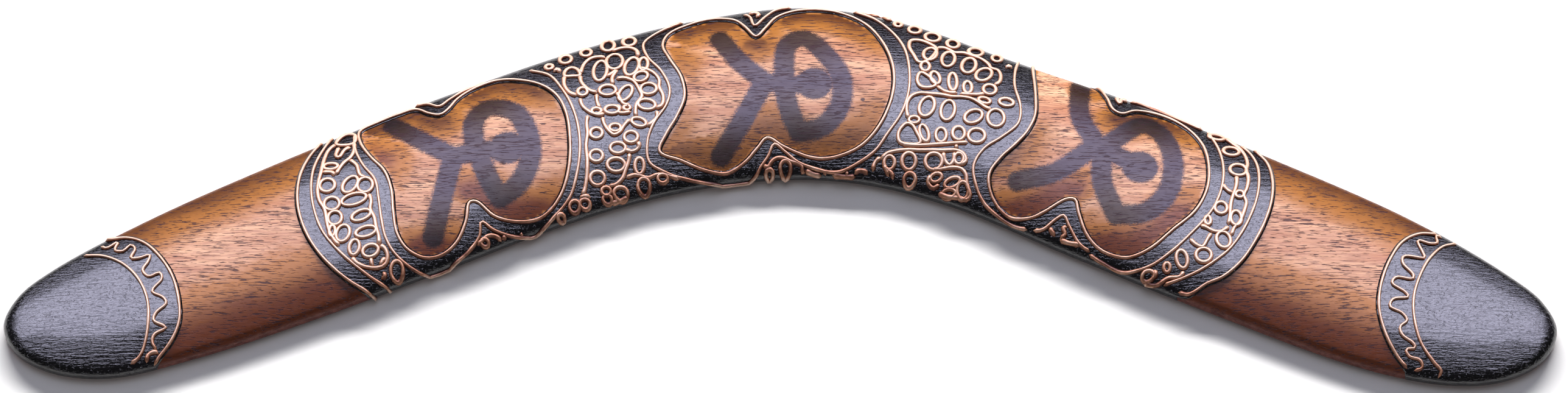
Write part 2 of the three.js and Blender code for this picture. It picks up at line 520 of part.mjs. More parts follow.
function bladeGeometry() {
  return stackGeometry([
    rimRing(Math.PI, 0),
    rimRing(Math.PI * 0.75, 0),
    rimRing(Math.PI * 0.5, 0),
    rimRing(Math.PI * 0.25, 0),
    rimRing(0, 0),
    ...DOME_RINGS.map((fraction) => domeRing(fraction, 0)),
  ].map((ring, row) => (row ? ring : ring.map((point) => point.setZ(0)))));
}

// One film over the whole top, before it is cut to its painted areas.
function filmBlank() {
  const under = FILM_GAP;
  const upper = FILM_GAP + FILM_THICKNESS;
  return stackGeometry([
    ...DOME_RINGS.map((fraction) => domeRing(fraction, under)).reverse(),
    rimRing(0, under),
    rimRing(FILM_TURN / 2, under),
    rimRing(FILM_TURN, under),
    rimRing(FILM_TURN, upper),
    rimRing(FILM_TURN / 2, upper),
    rimRing(0, upper),
    ...DOME_RINGS.map((fraction) => domeRing(fraction, upper)),
  ]);
}

// ---------------------------------------------------------------------------------- cutting films

const manifold = await Module();
manifold.setup();

function toSolid(geometry) {
  const bare = geometry.clone();
  bare.deleteAttribute('normal');
  bare.deleteAttribute('uv');
  const merged = mergeVertices(bare, 1e-4);
  return new manifold.Manifold(new manifold.Mesh({
    numProp: 3,
    vertProperties: new Float32Array(merged.attributes.position.array),
    triVerts: new Uint32Array(merged.index.array),
  }));
}

// The solid's surface, with corners that fall on each other joined and the faces between them gone.
function toGeometry(solid) {
  const mesh = solid.getMesh();
  const loose = new THREE.BufferGeometry();
  loose.setAttribute('position', new THREE.Float32BufferAttribute(mesh.vertProperties, 3));
  loose.setIndex(Array.from(mesh.triVerts));
  const geometry = mergeVertices(loose, 1e-5);
  const corners = Array.from(geometry.index.array);
  geometry.setIndex(corners.filter((_, i) => {
    const face = corners.slice(i - (i % 3), i - (i % 3) + 3);
    return new Set(face).size === 3;
  }));
  return geometry;
}

// An upright prism through the board, over a plan outline.
function prism(points) {
  const shape = new THREE.Shape(points.map((point) => new THREE.Vector2(point.x, point.y)));
  const geometry = new THREE.ExtrudeGeometry(shape, { depth: 40, bevelEnabled: false });
  geometry.translate(0, 0, -10);
  return toSolid(geometry);
}

const plan = (pairs) => pairs.map(([x, y]) => new THREE.Vector3(x, y, 0));

// The border of a film: a line's points, moved sideways to where the film past the line ends.
function lip(points, closed, side) {
  const curve = smooth(points, closed);
  const count = points.length * 2;
  return curve.getSpacedPoints(count).slice(0, closed ? -1 : undefined).map((point, i) => {
    const along = curve.getTangentAt(i / count);
    const left = new THREE.Vector3(-along.y, along.x, 0);
    return point.clone().addScaledVector(left, side * FILM_LIP);
  });
}

function windowBorder(points, closed) {
  const corners = points.map(([x, y]) => new THREE.Vector2(x, y));
  return lip(points, closed, THREE.ShapeUtils.area(corners) > 0 ? 1 : -1);
}

function tipFilm(blank, line, side) {
  const beyond = plan([[side * 160, -75], [side * 215, -75], [side * 215, 20], [side * 172, 5]]);
  return blank.intersect(prism([...lip(line, false, -side), ...beyond]));
}

function middleFilm(blank) {
  const area = prism([
    ...plan([[-116, 75], [-116, 22]]),
    ...lip(LINES.left_band_outer_line, false, -1),
    ...plan([[-100, -75], [100, -75]]),
    ...lip(LINES.right_band_outer_line, false, 1).reverse(),
    ...plan([[121, 22], [121, 75]]),
  ]);
  const windows = [
    windowBorder(CLOSED_LINES.window_1_inner_line, true),
    windowBorder(CLOSED_LINES.window_2_inner_line, true),
    [...windowBorder(LINES.window_3_inner_line, false), ...plan([[79, 41], [74, 48], [68.5, 48]])],
  ];
  const film = windows.reduce((rest, border) => rest.subtract(prism(border)), blank.intersect(area));
  return film.asOriginal().simplify(TOLERANCE / 2);
}

// -------------------------------------------------------------------------------- piped paint

// The sections of a line and of a lace bead, as shares of their width and height.
const LINE_SECTION = [[-0.5, 0], [-0.26, 1], [0.26, 1], [0.5, 0]];
const BEAD_SECTION = [[-0.5, 0], [0, 1], [0.5, 0]];

// Even points along a curve, closer together where it runs over the rim.
function pathPoints(curve, closed, step) {
  const fine = Math.max(Math.round(curve.getLength() / (RIM_STEP / 2)), 12);
  const points = curve.getSpacedPoints(fine).map(unrolled);
  const kept = [points[0]];
  let run = 0;
  for (let i = 1; i < points.length - 1; i += 1) {
    run += points[i].distanceTo(points[i - 1]);
    const onRim = nearestRim(points[i].x, points[i].y).side < 3;
    const left = points[i].distanceTo(points.at(-1));
    if (run >= (onRim ? RIM_STEP : step) && left > RIM_STEP / 3) {
      kept.push(points[i]);
      run = 0;
    }
  }
  return closed ? kept : [...kept, points.at(-1)];
}

// A bead of paint along unrolled points. The foot of the bead is at the lift.
function beadGeometry(centres, closed, { width, height, section }, lift) {
  const count = centres.length;
  const size = section.length;
  const positions = [];
  const indices = [];
  centres.forEach((centre, i) => {
    const before = closed ? centres.at(i - 1) : centres[Math.max(i - 1, 0)];
    const after = closed ? centres[(i + 1) % count] : centres[Math.min(i + 1, count - 1)];
    const across = new THREE.Vector3(before.y - after.y, after.x - before.x, 0).normalize();
    section.forEach(([side, rise]) => {
      const foot = centre.clone().addScaledVector(across, side * width);
      positions.push(...wrapped(foot, lift + rise * height).toArray());
    });
  });
  const spans = closed ? count : count - 1;
  for (let i = 0; i < spans; i += 1) {
    for (let k = 0; k < size; k += 1) {
      const next = ((i + 1) % count) * size;
      const a = i * size + k;
      const b = i * size + ((k + 1) % size);
      const c = next + ((k + 1) % size);
      const d = next + k;
      indices.push(a, b, c, a, c, d);
    }
  }
  if (!closed) {
    const end = (count - 1) * size;
    for (let k = 1; k < size - 1; k += 1) {
      indices.push(0, k + 1, k, end, end + k, end + k + 1);
    }
  }
  return closedGeometry(positions, indices);
}

function pipedLine(centres, closed) {
  return toSolid(beadGeometry(centres, closed, { ...LINE, section: LINE_SECTION }, PAINT_LIFT));
}

function laceBead(centres, closed) {
  return toSolid(beadGeometry(centres, closed, { ...BEAD, section: BEAD_SECTION }, PAINT_LIFT));
}

// The room a line takes, with the gap that other paint keeps from it.
function clearance(centres, closed) {
  const { width, height } = LINE;
  const room = { width: width * 2 + 2 * PAINT_GAP, height: height * 4, section: BEAD_SECTION };
  return toSolid(beadGeometry(centres, closed, room, PAINT_LIFT - height * 0.6));
}

function ringPoints([x, y, across, up, tilt]) {
  const overRim = nearestRim(x, y).side < 3.5;
  const step = overRim ? RIM_STEP : BEAD.step;
  const count = Math.max(6, Math.round((Math.PI * (across + up)) / step));
  const turn = THREE.MathUtils.degToRad(tilt);
  return Array.from({ length: count }, (_, i) => {
    const angle = (i / count) * 2 * Math.PI;
    return new THREE.Vector2(across * Math.cos(angle), up * Math.sin(angle))
      .rotateAround(new THREE.Vector2(), turn);
  }).map((offset) => unrolled(new THREE.Vector3(x + offset.x, y + offset.y, 0)));
}

function laceBeads({ rings, loops, strokes }) {
  return [
    ...rings.map((ring) => laceBead(ringPoints(ring), true)),
    ...loops.map((loop) => laceBead(pathPoints(smooth(loop, true), true, BEAD.step), true)),
    ...strokes.map((stroke) => laceBead(pathPoints(smooth(stroke, false), false, BEAD.step), false)),
  ];
}

// --------------------------------------------------------------------------------------- assembly

const WOOD = new THREE.MeshStandardMaterial({ color: 0xb07a52, roughness: 0.45, metalness: 0 });
const LACQUER = new THREE.MeshStandardMaterial({ color: 0x17131a, roughness: 0.25, metalness: 0 });
const COPPER = new THREE.MeshStandardMaterial({ color: 0xc99a80, roughness: 0.35, metalness: 0.6 });

const group = new THREE.Group();

function addPart(name, geometry, material) {
  const mesh = new THREE.Mesh(geometry, material);
  mesh.name = name;
  group.add(mesh);
}

// Adds each connected body of some paint, clear of the paint that is already there.
function addPaint(name, solid, taken) {
  const clear = taken.reduce((rest, room) => rest.subtract(room), solid);
  const bodies = clear.asOriginal().simplify(TOLERANCE).decompose()
    .filter((body) => body.volume() > LACE_SLIVER);
  bodies.sort((a, b) => b.volume() - a.volume());
  bodies.forEach((body, i) => {
    addPart(bodies.length > 1 ? `${name}_${i + 1}` : name, toGeometry(body), COPPER);
  });
}

addPart('wooden_blade', bladeGeometry(), WOOD);

const blank = toSolid(filmBlank());
addPart('left_tip_lacquer', toGeometry(tipFilm(blank, LINES.left_tip_outer_line, -1)), LACQUER);
addPart('middle_lacquer', toGeometry(middleFilm(blank)), LACQUER);
addPart('right_tip_lacquer', toGeometry(tipFilm(blank, LINES.right_tip_outer_line, 1)), LACQUER);

const rooms = [];
const addLine = (closed) => ([name, points]) => {
  const centres = pathPoints(smooth(points, closed), closed, LINE.step);
  addPaint(name, pipedLine(centres, closed), rooms);
  rooms.push(clearance(centres, closed));
};
Object.entries(CLOSED_LINES).forEach(addLine(true));
Object.entries(LINES).forEach(addLine(false));

Object.entries(LACE).forEach(([name, figure]) => {
  const beads = laceBeads(figure);
  const whole = beads.reduce((sum, one) => sum.add(one));
  addPaint(name, whole, rooms);
});

export default group;
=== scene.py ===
# A hand-painted wooden boomerang: one carved board, black lacquer skins over its tips and its middle,
# and thick copper paint piped over the lacquer in lines and lace. Shapes are worked out in millimetres.

import math

import bmesh
import bpy
import numpy as np
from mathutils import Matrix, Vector
from mathutils.geometry import delaunay_2d_cdt


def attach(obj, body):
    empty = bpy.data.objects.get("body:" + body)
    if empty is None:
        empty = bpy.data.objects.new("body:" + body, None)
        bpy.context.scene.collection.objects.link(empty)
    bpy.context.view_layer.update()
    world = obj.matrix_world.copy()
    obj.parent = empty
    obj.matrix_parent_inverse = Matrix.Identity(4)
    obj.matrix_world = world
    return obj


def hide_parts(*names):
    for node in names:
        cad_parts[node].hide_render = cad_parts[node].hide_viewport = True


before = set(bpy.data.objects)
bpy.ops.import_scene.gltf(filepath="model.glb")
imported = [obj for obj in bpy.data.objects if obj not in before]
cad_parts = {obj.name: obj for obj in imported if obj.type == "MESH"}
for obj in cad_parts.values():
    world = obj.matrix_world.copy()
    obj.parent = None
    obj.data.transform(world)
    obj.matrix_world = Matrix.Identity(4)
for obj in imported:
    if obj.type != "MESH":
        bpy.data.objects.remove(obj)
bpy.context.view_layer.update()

MM = 0.001

# ------------------------------------------------------------------------------ driving dimensions

EDGE_RADIUS = 1.9  # rounding of the rim, so the rim is 3.8 thick
DOME_POWER = 2.2  # how early the top flattens towards its ridge
HALF_WIDTH = ((0, 24.5), (30, 24), (70, 21.5), (110, 20.6), (150, 19.5), (185, 17.5))
RIDGE_HEIGHT = ((0, 9), (60, 8.4), (140, 7.6), (185, 6.4))

SKIN_LIFT = 0.16  # lacquer stands this far over the wood
SKIN_SINK = 0.25  # and its underside lies this far inside the wood
SKIN_LIP = 0.78  # lacquer shows this far past the middle of a copper line
SKIN_WRAP = -1.3  # how far the lacquer wraps down the rim, measured round it

LINE_WIDTH = 0.85
LINE_HEIGHT = 0.75
LACE_WIDTH = 1.15
LACE_HEIGHT = 0.75
NEAR_SHADE_FADE = 9  # painted shade on the copper fades out over this far in from the board's near edge

LINE_STEP = 0.8  # spacing of the points along a line
LACE_STEP = 0.6
RIM_STEP = 1.2
WOOD_GRID = 1.0  # spacing of the wood's mesh
SKIN_GRID = 1.5  # spacing of the lacquer's mesh
BOARD_SEAMS = (-178, -47, 46, 177)  # the board's mesh is cut here, under the lacquer
SKIN_SEAMS = (-44, 43)  # the middle lacquer's mesh is cut here, under the lace

# The blade's plan, clockwise from the left tip: far edge, right tip, near edge, left tip.
OUTLINE = (
    (-200, -39), (-197, -31), (-189, -23.5), (-165, -8.5), (-130, 9.5), (-90, 28), (-50, 43.8),
    (-20, 52.2), (8, 55.6), (35, 50.2), (60, 40), (90, 28), (130, 9.5), (165, -8.5), (188.5, -24.5),
    (197, -32.5), (200, -40.5), (196, -48.7), (186, -54.3), (172, -55.6), (150, -51), (110, -34.5),
    (75, -18.2), (45, -4), (22, 2.7), (0, 4), (-25, 0.4), (-50, -7), (-90, -24), (-120, -36.8),
    (-150, -48), (-172, -53.6), (-187, -52), (-196.5, -46.5),
)

# -------------------------------------------------------------------------------- piped line work

OPEN_LINES = {
    "left_tip_inner_line": [
        (-180.7, -20), (-175.2, -20.6), (-169.8, -23.4), (-165.3, -28.3), (-162.7, -34.3), (-162.2, -41),
        (-163.1, -47.2), (-164.3, -49.6), (-166.2, -51),
    ],
    "left_tip_outer_line": [
        (-175.4, -15.3), (-169.7, -15), (-165, -16.9), (-160.4, -21.5), (-156.7, -27.4), (-154.6, -34.5),
        (-154.3, -39.8), (-156.1, -45), (-160.4, -50.8),
    ],
    "left_tip_wave": [
        (-176.4, -17.2), (-174.8, -18), (-171.9, -16.3), (-172.5, -18.8), (-170.3, -19.3),
        (-168.4, -17.5), (-167.1, -18.8), (-168, -21.6), (-165.8, -21.7), (-163.1, -20.9), (-163.4, -23),
        (-164.6, -25.4), (-162.9, -27.3), (-160.1, -26.3), (-159.4, -28), (-161.7, -31.6),
        (-158.7, -33.4), (-157.8, -35), (-160.3, -37.7), (-160.8, -39.8), (-157.6, -41.6),
        (-160.3, -43.4), (-160.9, -45.3), (-159.7, -47.6),
    ],
    "left_band_outer_line": [
        (-120.3, 13.8), (-122.8, 10), (-125.1, 4), (-125.8, -2), (-125.1, -8.5), (-122.4, -15.8),
        (-118, -22.2), (-112.5, -27), (-107.5, -29.8), (-104, -31),
    ],
    "left_band_inner_line": [
        (-117.5, 15.5), (-119.9, 11), (-121.9, 5), (-122.3, -1), (-121.2, -8), (-118.5, -14.8),
        (-113.8, -20.5), (-108.8, -24.6), (-103.8, -27.8), (-100.3, -29),
    ],
    "window_1_outer_line": [
        (-112, 15.5), (-111.5, 10.5), (-109, 5), (-105.7, 0.5), (-104.5, -5), (-103.5, -11),
        (-102.1, -16.5), (-99.1, -21), (-93.6, -24.5), (-88.6, -23.8), (-83.9, -20.9), (-80.2, -18),
        (-78, -14.6), (-77.6, -11.1), (-74.4, -13), (-70.2, -14), (-63.7, -12.5), (-58.2, -8),
        (-54.8, -3.5), (-53.2, 2), (-52.4, 9), (-53, 16), (-54.9, 22.5), (-57.7, 28), (-61.2, 32.7),
        (-66.7, 35),
    ],
    "window_2_outer_line": [
        (-25.9, 50.2), (-32.9, 46.3), (-36.3, 42.5), (-35.3, 38), (-31.2, 32.5), (-29.1, 27),
        (-29.9, 22.5), (-33.3, 16.8), (-34.8, 11.5), (-34.2, 6.3), (-30.4, 4), (-23.9, 2.3), (-12.9, 2.5),
        (-6.6, 3.9), (-5, 6), (-3.1, 8.6), (-1.5, 11.7), (1, 10), (4.6, 7.2), (9.6, 5.5), (15.9, 4.9),
        (19.9, 6.5), (24.9, 9.8), (28.4, 14.6), (31.9, 20), (33.8, 26), (34.2, 33), (33.1, 40),
        (30.4, 45.3), (25.6, 50.5), (19.5, 53.4),
    ],
    "window_2_top_line": [
        (-9.9, 52.2), (-8.2, 51.4), (-6.8, 47.8), (-4.1, 50.9), (-1.2, 53.6), (3, 54.6),
    ],
    "window_3_left_line": [
        (63.5, 38.6), (62.3, 34), (62, 29), (63.3, 22), (62.5, 17), (58.2, 13), (53.3, 9.5), (50.6, 5),
        (51.1, 0), (53.3, -5), (56.7, -8), (60.7, -10.5), (64.4, -12),
    ],
    "window_3_notch_line": [
        (65.9, -12.4), (68.2, -12.6), (71.7, -10.2), (73.7, -9.3), (75.1, -12.1), (77.6, -16.7),
        (80.4, -18.9),
    ],
    "window_3_right_line": [
        (112.5, 16.8), (115.1, 10.5), (115.9, 5), (115.5, 0), (114, -5), (111.5, -9.5), (106.5, -15.2),
        (101.3, -20), (95.4, -23.6), (89.9, -24.4), (83.6, -21.5), (80.1, -19.3),
    ],
    "right_band_inner_line": [
        (121, 12.5), (123.3, 10), (124.9, 6), (125.1, 1.2), (124.1, -4.8), (122.1, -10.2), (119.5, -15.2),
        (116.4, -19.5), (112.9, -22.5), (108.3, -25.3), (103.2, -27.3), (99.1, -28.4),
    ],
    "right_band_outer_line": [
        (124.4, 11.5), (127.6, 7), (128.6, 1.5), (128, -5), (125.9, -11.5), (122.6, -18), (119, -23.2),
        (114.5, -27), (110.1, -28.7), (105.7, -31), (102.8, -30.2),
    ],
    "right_tip_outer_line": [
        (170.9, -13.7), (166.3, -13.9), (161.6, -16.7), (157.9, -22), (155, -29.1), (153.9, -36.2),
        (155.3, -43.6), (158.1, -49.4), (160.4, -52.3),
    ],
    "right_tip_inner_line": [
        (175.8, -16.4), (172.1, -17.6), (168.1, -21.7), (165.3, -26.6), (163.1, -33), (162.8, -39.5),
        (164.2, -46), (167.3, -51.1), (169, -53.2), (168.2, -54.5),
    ],
    "right_tip_wave": [
        (172, -14.8), (170.5, -14.3), (170.6, -16.5), (168.7, -17), (165.5, -16.2), (166.5, -20.2),
        (166.8, -21.6), (161.3, -21.4), (160.9, -23.5), (163.4, -26.9), (163.2, -28), (158.9, -27.6),
        (157.7, -29.3), (160.9, -31.8), (161.7, -33.2), (157.7, -33.9), (156.7, -36), (159.7, -37.8),
        (160.9, -39.9), (159, -41.6), (159.4, -43.8), (162.1, -46), (162.6, -47.3), (160.3, -47.6),
        (160.9, -49.3), (163.7, -50.4), (164.2, -52.3), (162.1, -52.8),
    ],
    "window_1_top_line": [
        (-96.5, 24.6), (-93, 25), (-90, 23.8), (-87.5, 26), (-84, 28.7), (-78, 31.5),
    ],
    "window_3_top_line": [
        (92.5, 25.8), (96, 25), (100, 23.4), (105.5, 20.4), (111.3, 17.2),
    ],
    "window_3_inner_line": [
        (67.2, 39), (67.1, 34.5), (67.3, 30), (67.4, 25), (67, 19.5), (64.9, 14.8), (61.8, 11),
        (57.5, 6.8), (54.6, 2.5), (55, -2.5), (57.7, -7.2), (60.9, -9.3), (65.6, -9.3), (68.7, -8.1),
        (74.6, -5), (76.7, -5.2), (77.6, -8.8), (79.7, -14.8), (83.6, -19), (89.9, -21), (95.8, -19),
        (101.7, -14.2), (108, -8.5), (111.3, -2), (112.1, 5), (111.1, 11.3), (108.2, 16.3), (104, 19.8),
        (98.6, 22), (93.6, 22.5), (90.1, 21.2), (87.8, 22.5), (86.4, 26.5), (84.4, 30), (81.9, 32.6),
    ],
}

CLOSED_LINES = {
    "window_1_inner_line": [
        (-110.7, 16.5), (-110.2, 12.5), (-107.3, 7.7), (-103.3, 3), (-101.3, -2.5), (-100.5, -9),
        (-99.3, -15), (-96.6, -19), (-92.1, -21), (-87.6, -20), (-83.8, -16.5), (-81.6, -11), (-80.8, -6),
        (-79.1, -5.7), (-74.2, -9.5), (-68.7, -10.5), (-63.2, -9.6), (-59.7, -7), (-56.7, -2), (-55.1, 5),
        (-55.1, 13), (-56.2, 20), (-58.7, 25.5), (-63.2, 29.5), (-68.7, 31.5), (-74.7, 32), (-80.6, 29.8),
        (-85.1, 26.3), (-87.6, 22.5), (-89.6, 20.8), (-92.6, 21.5), (-96.1, 23.3), (-100.5, 22),
        (-106, 19.5),
    ],
    "window_2_inner_line": [
        (-31.6, 9.2), (-29.9, 14), (-27.2, 19), (-25.2, 25), (-26.2, 31), (-29.4, 37), (-31.2, 41.5),
        (-29.9, 45.5), (-24.9, 48.8), (-17.9, 50.9), (-11.9, 50), (-9, 47), (-6.4, 43.9), (-3.8, 47),
        (-1, 50.8), (4, 53.2), (10, 53.8), (16.4, 52.6), (22.9, 48.6), (27.4, 42), (29.9, 34),
        (29.8, 26.5), (27.4, 19), (23.9, 13.6), (19.8, 10.3), (12.8, 8.1), (7.8, 8.4), (0.8, 11.1),
        (-3.4, 13.3), (-6, 10.5), (-9.2, 7), (-13.9, 4.2), (-19.9, 4.8), (-25.9, 7),
    ],
}

